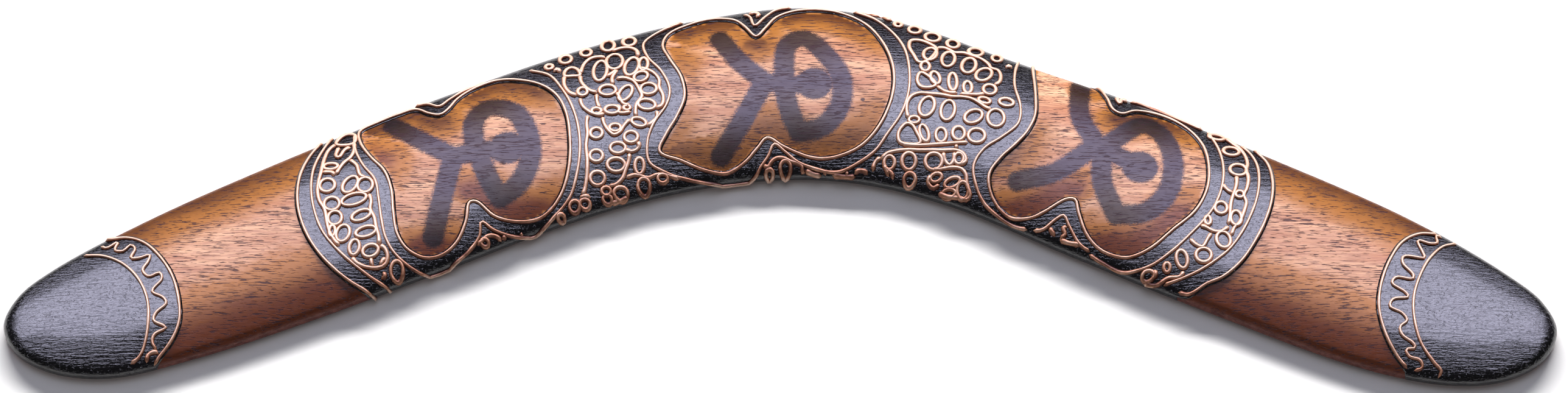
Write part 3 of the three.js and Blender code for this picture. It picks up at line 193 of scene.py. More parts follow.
LACE = {
    "left_lace": {
        "rings": [
            (-117.6, 5, 1.9, 1, 0), (-118.1, -1, 2, 2, 0), (-116.6, -6.6, 2, 1.9, 0),
            (-115.6, -10.8, 1.8, 2, 0), (-116.1, -14.6, 0.8, 1.6, 0), (-113.3, -15.2, 1.7, 2.4, -15),
            (-112.1, -0.9, 1.7, 2.7, -30), (-108.2, -1.1, 2, 2.2, 0), (-110.9, -5.3, 3.3, 1.6, 18),
            (-108.8, -10, 2.6, 1.4, 25), (-107.4, -14.7, 2.7, 1.4, 18), (-110.2, -19.1, 1.3, 2.1, -8),
            (-106, -19.9, 2.1, 1.6, 25), (-99.1, -24.7, 1.6, 2.5, 0),
        ],
        "loops": [
            [
                (-116.7, 12.6), (-115.5, 15), (-113.5, 15.9), (-111.8, 15.2), (-111.9, 12.6), (-114, 12),
            ],
        ],
        "strokes": [
            [
                (-116.7, 12.6), (-118.5, 10.5), (-119.3, 8), (-119.7, 5.5), (-120, 3), (-120.4, 0.5),
                (-120.5, -2.8), (-119.8, -5.8), (-118.4, -8.2), (-117.7, -11.5), (-116.9, -14.5),
                (-115.5, -17), (-114, -18.8),
            ],
            [(-115.8, 11.5), (-116.4, 8.3), (-115.5, 8), (-114.3, 10.2), (-112.7, 11.3)],
            [
                (-111.9, 12.6), (-111.7, 10.2), (-112.4, 7.8), (-114.1, 6), (-115.3, 4), (-116.1, 2.2),
            ],
            [(-119.8, 3.2), (-117, 3), (-116.4, 1.8)],
            [(-112.8, 7), (-110.7, 5), (-109.7, 2), (-108, 1)],
            [
                (-107.1, -3.5), (-106.4, -5.8), (-106.5, -8.2), (-105.4, -10.5), (-104.8, -13.3),
                (-104, -16), (-103.8, -18.3),
            ],
            [
                (-110.7, -21.6), (-109.8, -23), (-108, -23.9), (-105.8, -24.3), (-103.7, -24.2),
                (-101.9, -23), (-101.6, -21), (-102.5, -19), (-103.8, -18.3),
            ],
            [(-102.7, -25), (-102.1, -26.2), (-103.1, -27)],
            [(-105.8, -21.5), (-105.6, -23.3), (-105.2, -24.3)],
            [(-103.4, -24), (-102.7, -22.3), (-101.8, -21.5)],
        ],
    },
    "right_lace": {
        "rings": [
            (114.8, 14.9, 2.1, 0.9, -10), (118.4, 10.2, 2.1, 1.4, 0), (119.8, 4, 2.2, 1.8, 0),
            (119.7, -3.7, 1.1, 1, 0), (114.6, -7.8, 1.6, 1.7, 0), (118.4, -10.8, 1.4, 2.1, 0),
            (111, -11.5, 0.8, 1.3, 0), (114.8, -17.1, 1.8, 2.3, 12), (109.5, -21.3, 2, 1.9, 0),
            (100, -24.2, 0.8, 1.2, 0), (103.9, -22.2, 1.4, 2.4, 10), (95.2, -25.8, 1.5, 1.2, 0),
        ],
        "loops": [],
        "strokes": [
            [
                (117, 15), (119, 13), (121, 11), (122.1, 8.5), (122.4, 6), (121.9, 4), (122.3, 1.5),
                (121.7, -1.8), (120.8, -4), (121.3, -6), (120.5, -9), (119.2, -12), (117.8, -13.5),
                (116.8, -16),
            ],
            [
                (119.2, 2.1), (119.1, -0.3), (118.6, -2.3), (117.8, -4.5), (117.2, -6.8), (116.9, -9.5),
                (116.3, -12.8),
            ],
            [(115.2, -0.6), (116.5, -2.4), (118.1, -3.6)],
            [(108.9, -12.8), (110.8, -13.7), (112.4, -14.6), (114.3, -14.7), (116.5, -13.2)],
            [(106.1, -16.6), (107.5, -18.3), (109.3, -19), (110.5, -17.2), (111.8, -15)],
            [(94.1, -27), (97.6, -28), (100.3, -26.8), (103.3, -26.6), (104.4, -25.2)],
            [(96.8, -24.4), (97.1, -25.6), (96.6, -26.8)],
        ],
    },
    "lace_12": {
        "rings": [
            (-57, 38.2, 1.6, 1.5, 0), (-51.6, 40.3, 1.4, 1.3, 0), (-45.8, 42.4, 1.7, 1.9, 0),
            (-40.2, 43.6, 1.7, 1.6, 0), (-52.1, 26.7, 1.3, 1.3, 0), (-47.6, 33.5, 1.8, 3.4, -5),
            (-43.9, 36.5, 2.2, 2.6, 0), (-39.3, 34.6, 1.8, 3, -15), (-36.2, 35.3, 1.2, 2.1, 0),
            (-36.8, 31.2, 1.9, 1.5, 25), (-34.7, 27.3, 2.1, 1.7, 0), (-35.1, 22.5, 2.3, 1.5, -10),
            (-45.5, 27, 2.2, 1.6, 0), (-40.8, 26, 1.5, 2.6, -30), (-44.2, 21, 1.9, 1.2, 0),
            (-40.3, 21.5, 0.9, 0.7, 0), (-48.3, 20.6, 1.3, 0.9, 0), (-48.2, 14, 1.6, 1.5, 0),
            (-48.1, 7.6, 1.7, 1.6, 0), (-47.7, 1.6, 1.9, 1.8, 0), (-43.3, 15.6, 1.5, 1.1, 0),
            (-37.1, 17.3, 2, 1.2, -20), (-39.1, 13, 1.8, 1.6, 0), (-42.5, 9.9, 2, 1.5, 0),
            (-42.9, 5.3, 2.3, 1.8, 0), (-45.4, -1.6, 1.2, 1.1, 0), (-45.1, -3.5, 1.2, 1, 0),
            (-41.6, -1.9, 1.8, 1.6, 0), (-36.8, 5.2, 1.2, 2.1, 0), (-35.6, 0.2, 1.6, 2, 0),
            (-30.7, 2.3, 1.3, 1.1, 0), (-50.9, -5, 1.3, 1.2, 0), (-53.6, -5.8, 1.3, 1.5, -25),
            (-61.3, 35.8, 1, 0.9, 0),
        ],
        "loops": [
            [(-57.1, 32.2), (-56.7, 34.2), (-55.3, 35), (-53.8, 34.3), (-52.9, 32.2), (-55, 32)],
        ],
        "strokes": [
            [(-57.1, 32.2), (-57, 29), (-55.5, 26.5), (-53.5, 25.4)],
            [(-52.9, 32.2), (-52.6, 30), (-51.3, 28), (-49.8, 26.8), (-48.1, 26.3)],
            [(-52.9, 32.5), (-52, 36), (-50.3, 38), (-47.8, 38.5), (-46.3, 38)],
            [(-44.8, 40.3), (-42.3, 41.3), (-39.8, 41.2), (-38.1, 40), (-37.6, 37.8)],
            [
                (-37.3, 34), (-35.3, 33.5), (-33.3, 32.2), (-31.9, 30), (-31.9, 27.8), (-30.8, 25),
                (-31.1, 22.3), (-32.8, 21.3),
            ],
            [(-52.8, 24.8), (-52, 22.2), (-50, 20.3), (-47.6, 19.4), (-46, 20)],
            [(-48.4, 26), (-48.2, 23.5), (-47.4, 21.2)],
            [(-45.9, 31.2), (-43.3, 33.5), (-44.4, 30.8), (-44.1, 28.6)],
            [
                (-43.4, 30.6), (-41.3, 30.9), (-39, 30), (-38.1, 29), (-37.1, 27), (-36.4, 25),
                (-37.8, 22.5), (-38, 20), (-37.8, 18.7),
            ],
            [(-43.2, 26.5), (-42.1, 24.2), (-41.3, 22.8), (-39.3, 22.2)],
            [(-43.3, 22.5), (-42.1, 21.5), (-42.6, 20.3), (-40.8, 20), (-39.1, 20.5)],
            [(-32.5, 20.8), (-32.3, 19), (-33.8, 17), (-35, 16)],
            [
                (-50.5, 19.5), (-50.8, 17), (-50.5, 14), (-50.8, 10.5), (-50.4, 6), (-50.5, 2),
                (-51, -1.5), (-51.6, -3.2),
            ],
            [
                (-46.7, 19), (-46.3, 17), (-45, 14.8), (-43.6, 13.6), (-42, 14.4), (-41.1, 16),
                (-39.3, 18.3),
            ],
            [(-37.2, 12), (-37, 10.2), (-38.8, 9), (-40.8, 9.6)],
            [(-39.4, 8.7), (-39.6, 6.5), (-40.5, 3.8), (-41.1, 2), (-42.8, 0.3), (-44.8, -0.3)],
            [
                (-40.3, 2), (-38.1, 2.9), (-36.3, 2.7), (-34.6, 2.3), (-32.4, 3.2), (-30.6, 3.4),
                (-28.4, 2.9), (-26.4, 2.3),
            ],
            [(-52.3, -3.9), (-51.1, -3.1), (-49.4, -3.3)],
            [(-44.3, -4.2), (-41.8, -3.4), (-39.6, -2.4)],
            [(-60, 33.8), (-59, 34.8), (-58.2, 33.4)],
        ],
    },
    "lace_23": {
        "rings": [
            (31.5, 49.2, 1, 0.9, 0), (35.9, 47.4, 1.6, 1.3, 0), (40.6, 45, 2, 1.6, 0),
            (46, 43, 1.6, 1.5, 0), (52, 40.5, 1.9, 1.4, 0), (57.6, 38.7, 1.3, 1.2, 0),
            (39.8, 38.8, 1.7, 2.2, -25), (44.6, 37.2, 1.7, 2.6, -15), (50, 35.4, 1.8, 2.7, -20),
            (53.9, 32.5, 1.8, 2.5, -45), (38.4, 34.5, 1.2, 1.5, 0), (41, 30.8, 1.2, 2, 15),
            (45.6, 29.7, 1.1, 2.8, 0), (49.5, 28, 1.1, 1.9, 0), (55.3, 27.5, 1.7, 1.6, 0),
            (38.6, 21.9, 1.9, 3, -20), (44.1, 20.8, 1.8, 3, -12), (50.8, 19, 2.5, 1.8, 30),
            (56.7, 18.6, 2.2, 2.6, 0), (59.6, 23.5, 1.9, 1.2, -10), (53.8, 23.9, 1.6, 0.9, -15),
            (35.2, 18, 1.4, 1, 0), (37.8, 14.2, 1.1, 2.4, 15), (42.2, 13.6, 1.4, 2, 0),
            (46.8, 14, 1.6, 1.9, 0), (51.5, 13.3, 2.2, 2, 0), (28.6, 6.6, 1.4, 1.8, 0),
            (33.7, 6.8, 1.8, 2.2, 0), (40.2, 6.5, 2.2, 2.2, 0), (46.8, 7, 1.2, 1.5, 0),
            (33.9, 2.2, 1.5, 1.7, 0), (40.8, 2.3, 1.5, 1.1, 20), (45, 0.8, 2.1, 1.2, 20),
            (44.1, -1.8, 1.7, 1, 0), (47.7, -1.3, 1.5, 2.2, 0),
        ],
        "loops": [
            [
                (36.8, 35.8), (35.4, 38.3), (34.3, 41), (34.8, 43.2), (37, 43.5), (39.8, 42.4),
                (41.6, 40.8), (40.8, 38.5), (38.8, 36.3),
            ],
            [(37.1, 32.4), (36.2, 30), (37.1, 28), (39.3, 27.7), (41.1, 28.6), (39.2, 31.3)],
            [
                (33.2, 17), (31.1, 14.5), (31.3, 12), (33.8, 11.2), (36.8, 11.6), (35.8, 14.5),
                (34.6, 16.6),
            ],
        ],
        "strokes": [
            [
                (41.6, 41), (43.5, 41.3), (45.1, 40.6), (46.3, 39.8), (48.8, 39.9), (50.8, 39.2),
                (53.3, 38.2), (55.3, 36.3), (55.9, 35), (57.7, 34.3), (58.4, 32.3), (57.9, 30),
                (56.5, 29),
            ],
            [(59.9, 35.2), (60.7, 36.2), (61.5, 35.3)],
            [(41.3, 28.4), (42.8, 27), (44.8, 26.2), (46.8, 26.2)],
            [(47.3, 25.9), (49.8, 25.8), (52.6, 25.8), (54.1, 26.2)],
            [
                (33.7, 18.3), (33.3, 20.7), (33.6, 23.5), (34.8, 25.2), (36.8, 26), (39.8, 25.8),
                (42.8, 25.5), (45.1, 25), (47.8, 25), (50.3, 24.5), (52.6, 23), (54.1, 21.8), (55.7, 21),
            ],
            [(31.9, 11.3), (35.8, 10.9), (39.6, 11), (42.8, 11.1), (45.8, 11.3), (49.3, 11.4)],
            [
                (26.4, 7.5), (28.1, 9), (29.9, 9.5), (33.2, 9.8), (36.3, 9.6), (39.5, 9.5), (42.8, 9.3),
                (46.1, 9.3), (48, 8.2), (48.6, 6.3), (47.1, 5.2),
            ],
            [(46.1, 11.2), (46.2, 9.4)],
            [(42.7, 9), (43.1, 6.7), (44.3, 5.3), (45.4, 6.5), (45.6, 9)],
            [
                (39.8, 4.4), (41.8, 4.4), (44.8, 4.7), (47.3, 4.3), (48.5, 2.8), (48.8, 0), (49.6, -2.6),
                (49, -3.6), (46.8, -3), (43.8, -2.4), (41.3, -1.4),
            ],
            [(24.3, 4.6), (24.7, 6.5), (26.4, 8.2)],
            [(27.1, 6.3), (27.9, 4.6), (28.5, 3.2)],
            [(27.7, 5), (29.2, 4), (29.6, 2.5)],
            [(39.4, 3.2), (38.7, 1.2), (40, -0.2), (41.8, 0.6)],
            [(21, 54), (23.5, 53.4), (25.5, 52.6), (27, 52.8), (28.6, 51.2), (30, 50.8)],
        ],
    },
    "elbow_lace": {
        "rings": [
            (1.4, 5.8, 1.4, 1.8, 0), (-2.8, 4.6, 1, 0.9, 0),
        ],
        "loops": [],
        "strokes": [
            [
                (-4.6, 6.3), (-3.1, 5.9), (-2.5, 6.9), (-1.5, 7.9), (-0.2, 8.3), (1.4, 8), (2.6, 7.4),
                (4.5, 6.9), (5.8, 6.1), (5.8, 5.2), (6.6, 4.9),
            ],
            [(6.5, 5.3), (9, 4.6), (10.9, 4.4)],
            [(11.5, 5.3), (12, 4.4)],
            [(13.7, 4.4), (15.9, 4.1), (17.9, 3.9), (19.8, 3.8)],
            [(17.1, 5), (17.9, 4)],
            [(19.5, 4.2), (20.4, 4.9), (22, 4.8), (23, 4)],
        ],
    },
    "notch_1_lace": {
        "rings": [
            (-76.7, -16.2, 1, 0.9, 0), (-57.1, -8.6, 0.9, 0.8, 0),
        ],
        "loops": [],
        "strokes": [
            [
                (-78.6, -17), (-77.1, -15.6), (-76.2, -14.7), (-74.8, -14.3), (-73.3, -14.7),
                (-72.4, -15.4),
            ],
            [(-72.4, -15), (-71.1, -14.1)],
            [(-67.8, -13.3), (-66.9, -13.2)],
        ],
    },
    "notch_3_lace": {
        "rings": [],
        "loops": [],
        "strokes": [
            [(70, -12), (70.6, -13.2), (71.5, -14.4)],
            [(74.7, -12.3), (73.6, -12.6), (74, -14.2), (72.7, -15.2)],
            [(72.7, -15.3), (75, -16.3), (76.9, -16.8), (77.6, -17.4)],
        ],
    },
    "curls": {
        "rings": [],
        "loops": [],
        "strokes": [
            [(-8.4, 52.4), (-6.6, 52.9), (-5.7, 52), (-6.4, 51)],
            [(88.8, 27.2), (89.8, 24.8), (90.4, 26.4), (91.8, 25.6)],
            [(-159.2, -48.3), (-160.2, -47.9), (-161.8, -48.8), (-162.2, -50.5)],
        ],
    },
}

# Sprayed figures, one in each window: limbs as (x, y) strokes, with the stroke's width.
FIGURES = (
    {"limbs": (
        ((-102, 18), (-94, 12.5), (-85.5, 7.5)),
        ((-90, -15.5), (-88, -5), (-85.5, 7.5)),
        ((-85.5, 7.5), (-79, 9), (-72, 10)),
        ((-80, 11), (-80.5, 18), (-77, 22.5), (-70, 21), (-66, 14), (-65.3, 7), (-68, 0), (-73, -4.5)),
        ((-79, 9), (-77, 3), (-73, -4.5)),
    ), "head": (-71.5, 10), "ends": ((-102, 18), (-90, -15.5), (-77, 22.5), (-73, -4.5))},
    {"limbs": (
        ((-16, 43.5), (-11, 36), (-4, 29.5)),
        ((-15.5, 8.5), (-10, 18), (-4, 29.5)),
        ((-4, 29.5), (2, 28.5), (9, 29)),
        ((1, 30), (2, 41), (6, 43.5), (12.5, 37.5), (16.3, 30), (15.5, 22), (11, 16.5), (5, 15)),
        ((1, 28), (2.5, 21), (5, 15)),
    ), "head": (9, 29), "ends": ((-16, 43.5), (-15.5, 8.5), (6, 43.5), (5, 15))},
    {"limbs": (
        ((79.5, 30), (79, 20), (83, 11)),
        ((62, 0.5), (72, 3), (83, 11)),
        ((83, 11), (88, 8), (94, 4.5)),
        ((86, 11), (92, 16), (96.4, 17.8), (101, 13.5), (102.8, 6), (101, -3), (95, -8.8), (87.3, -9.5)),
        ((84.5, 9), (84, 0), (87.3, -9.5)),
    ), "head": (94, 4.5), "ends": ((79.5, 30), (62, 0.5), (96.4, 17.8), (87.3, -9.5))},
)
KNOTS = ((21.8, 24.2, 0.9), (62.5, 5.5, 0.6), (71.5, 9.5, 0.5))  # small dark knots: x, y, radius
LIMB_WIDTH = 5.8
HEAD_RADIUS = 4.9
LIMB_STEP = 1.5
LIMB_BLUR = 2.8  # width of the spray's soft edge
HEAD_BLUR = 2.2
PAINTED_REFLECTION_FADE = 10  # round the end of each limb the painted lilac reflection gives way to black paint over this distance

GOLDEN_FADE = 16  # the golden stain fades over this distance, going in from the board's far edge
DARK_FADE = 20  # and the dark stain from its near edge
WINDOW_GOLDEN_FADE = 9.5
WINDOW_DARK_FADE = 11

# ------------------------------------------------------------------------------------- plan curves


def spline(points, step, closed=False):
    """A centripetal Catmull-Rom curve through plan points, sampled evenly about every step."""
    pts = np.asarray(points, float)
    count = len(pts)
    if closed:
        ring = np.vstack([pts[-1:], pts, pts[:2]])
    else:
        ring = np.vstack([2 * pts[:1] - pts[1:2], pts, 2 * pts[-1:] - pts[-2:-1]])
    dense = []
    for i in range(count if closed else count - 1):
        p0, p1, p2, p3 = ring[i:i + 4]
        t1 = np.linalg.norm(p1 - p0) ** 0.5
        t2 = t1 + np.linalg.norm(p2 - p1) ** 0.5
        t3 = t2 + np.linalg.norm(p3 - p2) ** 0.5
        t = np.linspace(t1, t2, 12, endpoint=False)[:, None]
        a1 = (t1 - t) / t1 * p0 + t / t1 * p1
        a2 = (t2 - t) / (t2 - t1) * p1 + (t - t1) / (t2 - t1) * p2
        a3 = (t3 - t) / (t3 - t2) * p2 + (t - t2) / (t3 - t2) * p3
        b1 = (t2 - t) / t2 * a1 + t / t2 * a2
        b2 = (t3 - t) / (t3 - t1) * a2 + (t - t1) / (t3 - t1) * a3
        dense.append((t2 - t) / (t2 - t1) * b1 + (t - t1) / (t2 - t1) * b2)
    dense = np.vstack([*dense, pts[:1] if closed else pts[-1:]])
    run = np.concatenate([[0], np.cumsum(np.linalg.norm(np.diff(dense, axis=0), axis=1))])
    spans = max(int(round(run[-1] / step)), 6 if closed else 2)
    at = np.linspace(0, run[-1], spans + 1)
    even = np.stack([np.interp(at, run, dense[:, k]) for k in (0, 1)], axis=1)
    return even[:-1] if closed else even


def sideways(path, closed=False):
    """Unit vectors to the left of a path, one at each point."""
    if closed:
        along = np.roll(path, -1, 0) - np.roll(path, 1, 0)
    else:
        along = np.gradient(path, axis=0)
    left = np.stack([-along[:, 1], along[:, 0]], axis=1)
    return left / np.linalg.norm(left, axis=1, keepdims=True)


def within(points, polygon):
    """Which plan points lie inside a polygon."""
    inside = np.zeros(len(points), bool)
    for (x0, y0), (x1, y1) in zip(polygon, np.roll(polygon, -1, 0)):
        if y0 == y1:
            continue
        crosses = (y0 > points[:, 1]) != (y1 > points[:, 1])
        at = x0 + (points[:, 1] - y0) * (x1 - x0) / (y1 - y0)
        inside ^= crosses & (points[:, 0] < at)
    return inside


def nearest(points, path, closed=False):
    """For each point: its distance from a path, the foot on the path, and the span of the foot."""
    count = len(path)
    spans = count if closed else count - 1
    closest = (np.sum(path ** 2, axis=1) - 2 * points @ path.T).argmin(axis=1)
    best = np.full(len(points), np.inf)
    foot = np.zeros((len(points), 2))
    span = np.zeros(len(points), int)
    for offset in (-1, 0):
        k = (closest + offset) % count if closed else np.clip(closest + offset, 0, spans - 1)
        origin = path[k]
        step = path[(k + 1) % count] - origin
        t = np.sum((points - origin) * step, axis=1) / np.sum(step * step, axis=1)
        near = origin + np.clip(t, 0, 1)[:, None] * step
        distance = np.linalg.norm(points - near, axis=1)
        closer = distance < best
        best[closer] = distance[closer]
        foot[closer] = near[closer]
        span[closer] = k[closer]
    return best, foot, span


# ------------------------------------------------------------------------------ the board's surface

ROUND_LIMIT = -1.8  # nothing is moved further round the rim than this unrolled depth
OUT_LIMIT = -4  # and points further outside the board than this stay where they are

RIM = spline(OUTLINE, RIM_STEP, closed=True)
INWARD = -sideways(RIM, closed=True)


def depths(points):
    """Signed depth inside the rim, the rim point and the direction inwards for each plan point."""
    distance, foot, span = nearest(points, RIM, closed=True)
    inward = INWARD[span] + INWARD[(span + 1) % len(RIM)]
    inward /= np.linalg.norm(inward, axis=1, keepdims=True)
    side = np.sign(np.sum((points - foot) * inward, axis=1))
    return distance * np.where(side == 0, 1, side), foot, inward


def dome_rise(x, depth):
    """How far the dome rises over the rounded rim."""
    table = np.asarray(HALF_WIDTH, float).T
    across = np.clip(depth / np.interp(abs(x), *table), 0, 1)
    ridge = np.interp(abs(x), *np.asarray(RIDGE_HEIGHT, float).T)
    return (ridge - 2 * EDGE_RADIUS) * (1 - (1 - across) ** DOME_POWER)


def unrolled(points):
    """Plan points, with those over the rim moved out as far as they lie round the rim."""
    points = np.asarray(points, float)
    depth, foot, inward = depths(points)
    out = np.clip((EDGE_RADIUS - depth) / EDGE_RADIUS, 0, 1)
    round_it = EDGE_RADIUS * (1 - np.arcsin(out)) + np.minimum(depth, 0)
    moved = foot + inward * np.maximum(round_it, ROUND_LIMIT)[:, None]
    over_rim = (depth < EDGE_RADIUS) & (depth > OUT_LIMIT)
    return np.where(over_rim[:, None], moved, points)


def placed(points, lift):
    """Unrolled points, wrapped on to the board with a lift over its surface."""
    depth, foot, inward = depths(points)
    turn = np.clip((EDGE_RADIUS - depth) / EDGE_RADIUS, 0, np.pi)
    reach = EDGE_RADIUS + np.asarray(lift, float) + np.zeros(len(points))
    on_rim = foot + inward * (EDGE_RADIUS - reach * np.sin(turn))[:, None]
    plan = np.where((turn > 0)[:, None], on_rim, points)
    real_depth = np.where(turn > 0, EDGE_RADIUS * (1 - np.sin(turn)), depth)
    real_depth = np.where(turn > np.pi / 2, 0, real_depth)
    height = EDGE_RADIUS + reach * np.cos(turn) + dome_rise(points[:, 0], real_depth)
    return np.column_stack([plan, height])


def rim_ring(depth):
    """The rim, moved in to an unrolled depth."""
    return RIM + INWARD * depth


# ------------------------------------------------------------------------------------ building meshes


def new_object(name, data):
    """A new object in the scene."""
    thing = bpy.data.objects.new(name, data)
    bpy.context.scene.collection.objects.link(thing)
    return thing


def new_piece(name, vertices, faces, material, attributes=None):
    """A smooth-shaded mesh piece that rides on the board, from millimetre vertices."""
    mesh = bpy.data.meshes.new(name)
    mesh.from_pydata((np.asarray(vertices) * MM).tolist(), [], [list(map(int, f)) for f in faces])
    for key, values in (attributes or {}).items():
        layer = mesh.attributes.new(key, "FLOAT", "POINT")
        layer.data.foreach_set("value", np.asarray(values, np.float32))
    mesh.materials.append(material)
    mesh.shade_smooth()
    mesh.validate()
    return new_object(name, mesh)


def grid(spacing, low, high):
    """A plan grid of points with every second row shifted by half."""
    rows = np.arange(low[1], high[1], spacing * 0.866)
    points = []
    for row, y in enumerate(rows):
        x = np.arange(low[0] + (row % 2) * spacing / 2, high[0], spacing)
        points.append(np.column_stack([x, np.full(len(x), y)]))
    return np.vstack(points)


def triangles(paths, loose, keep):
    """Delaunay triangles over constrained paths [(points, closed)] and loose points."""
    points = []
    edges = []
    base = 0
    for path, closed in paths:
        count = len(path)
        points.extend(path)
        edges.extend((base + i, base + (i + 1) % count) for i in range(count if closed else count - 1))
        base += count
    points.extend(loose)
    corners, _, faces, *_ = delaunay_2d_cdt([Vector(p) for p in points], edges, [], 0, 1e-4, False)
    corners = np.array(corners)
    faces = np.array(faces)
    centres = corners[faces].mean(axis=1)
    faces = faces[keep(centres)]
    a, b, c = (corners[faces[:, k]] for k in range(3))
    flipped = np.cross(b - a, c - a) < 0
    faces[flipped] = faces[flipped][:, ::-1]
    used, faces = np.unique(faces, return_inverse=True)
    return corners[used], faces.reshape(-1, 3)


def closed_skin(faces, count):
    """The faces of a thin closed solid: a top sheet, its underside and the walls between them."""
    edges = {}
    for a, b, c in faces:
        for edge in ((a, b), (b, c), (c, a)):
            edges[edge] = True
    walls = []
    for a, b in edges:
        if (b, a) not in edges:
            walls.append((b, a, a + count, b + count))
    under = faces[:, ::-1] + count
    return [*faces.tolist(), *under.tolist(), *walls]


def cut_at(piece, seams):
    """Cuts a closed mesh at x = each seam, into closed pieces named after the first with _1, _2..."""
    bounds = [None, *seams, None]
    parts = []
    for number, (low, high) in enumerate(zip(bounds, bounds[1:]), start=1):
        part = piece.copy()
        part.data = piece.data.copy()
        part.name = f"{piece.name}_{number}"
        part.data.name = part.name
        mesh = bmesh.new()
        mesh.from_mesh(part.data)
        for at, facing in ((low, -1), (high, 1)):
            if at is None:
                continue
            made = bmesh.ops.bisect_plane(
                mesh, geom=[*mesh.verts, *mesh.edges, *mesh.faces], dist=1e-7,
                plane_co=(at * MM, 0, 0), plane_no=(facing, 0, 0), clear_outer=True,
            )
            edges = [e for e in made["geom_cut"] if isinstance(e, bmesh.types.BMEdge)]
            cap = bmesh.ops.triangle_fill(mesh, edges=edges, use_beauty=False, use_dissolve=False)
            for edge in edges:
                edge.smooth = False
            for face in cap["geom"]:
                if isinstance(face, bmesh.types.BMFace):
                    face.smooth = False
        bmesh.ops.recalc_face_normals(mesh, faces=mesh.faces)
        mesh.to_mesh(part.data)
        mesh.free()
        bpy.context.scene.collection.objects.link(part)
        parts.append(part)
    old = piece.data
    bpy.data.objects.remove(piece)
    bpy.data.meshes.remove(old)
    return parts


def wander(seed, along, period):
    """A smooth wavering value of about -1 to 1 along a path, always the same for a seed."""
    rng = np.random.default_rng(seed)
    knots = rng.uniform(-1, 1, int(along[-1] / period) + 4)
    return np.interp(along / period, np.arange(len(knots)), knots)


# The section of a piped line, from foot to foot: sideways share of its width, share of its height.
SECTION = (
    (-0.5, -0.15), (-0.5, 0.12), (-0.44, 0.5), (-0.26, 0.86), (0, 1),
    (0.26, 0.86), (0.44, 0.5), (0.5, 0.12), (0.5, -0.15),
)


def bead(path, closed, width, height, seed):
    """A raised bead of paint: vertices, faces, how high each vertex is, and how much painted shade it
    gets near the board's near edge.
    """
    count = len(path)
    steps = np.linalg.norm(np.diff(path, axis=0), axis=1)
    along = np.concatenate([[0], np.cumsum(steps)])
    swell = 1 + 0.1 * wander(seed, along, 2.5)
    if closed:
        swell = 1 + (swell - 1) * np.sin(np.pi * np.arange(count) / count)
    else:
        to_end = np.minimum(along, along[-1] - along)
        blob = np.clip(1 - abs(to_end - 0.75 * width) / width, 0, 1)
        swell = (swell + 0.2 * blob) * np.sqrt(np.clip(to_end / (0.55 * width), 0.02, 1))
    left = sideways(path, closed)
    section = np.asarray(SECTION)
    plan = path[:, None] + left[:, None] * (section[:, 0] * width * swell[:, None])[:, :, None]
    lift = SKIN_LIFT + section[:, 1] * height * np.minimum(swell, 1.15)[:, None]
    flat = plan.reshape(-1, 2)
    vertices = placed(flat, lift.reshape(-1))
    crown = np.tile(np.clip(section[:, 1], 0, 1), count)
    depth, foot, _ = depths(flat)
    # Painted shade: copper on the board's near side is darkened, most at the near edge.
    painted_near_shade = np.clip(1.1 - depth / NEAR_SHADE_FADE, 0, 1) * (foot[:, 1] < flat[:, 1])
    size = len(section)
    faces = []
    for i in range(count if closed else count - 1):
        for k in range(size):
            a, b = i * size + k, i * size + (k + 1) % size
            c, d = ((i + 1) % count) * size + (k + 1) % size, ((i + 1) % count) * size + k
            faces.append((a, d, c, b))
    if not closed:
        last = (count - 1) * size
        faces.append(tuple(range(size)))
        faces.append(tuple(last + k for k in reversed(range(size))))
    return vertices, faces, crown, painted_near_shade


def piped(name, beads, material):
    """One piece made of several beads [(path, closed, width, height)]."""
    vertices, faces, crowns, painted_shading = [], [], [], []
    base = 0
    for number, (path, closed, width, height) in enumerate(beads):
        points, sides, crown, painted_near_shade = bead(path, closed, width, height, len(name) * 31 + number)
        vertices.append(points)
        faces.extend(tuple(i + base for i in face) for face in sides)
        crowns.append(crown)
        painted_shading.append(painted_near_shade)
        base += len(points)
    attributes = {"crown": np.hstack(crowns), "painted_near_shade": np.hstack(painted_shading)}
    piece = new_piece(name, np.vstack(vertices), faces, material, attributes)
    mesh = bmesh.new()
    mesh.from_mesh(piece.data)
    bmesh.ops.recalc_face_normals(mesh, faces=mesh.faces)
    mesh.to_mesh(piece.data)
    mesh.free()
    return piece


# ----------------------------------------------------------------------------------- material nodes


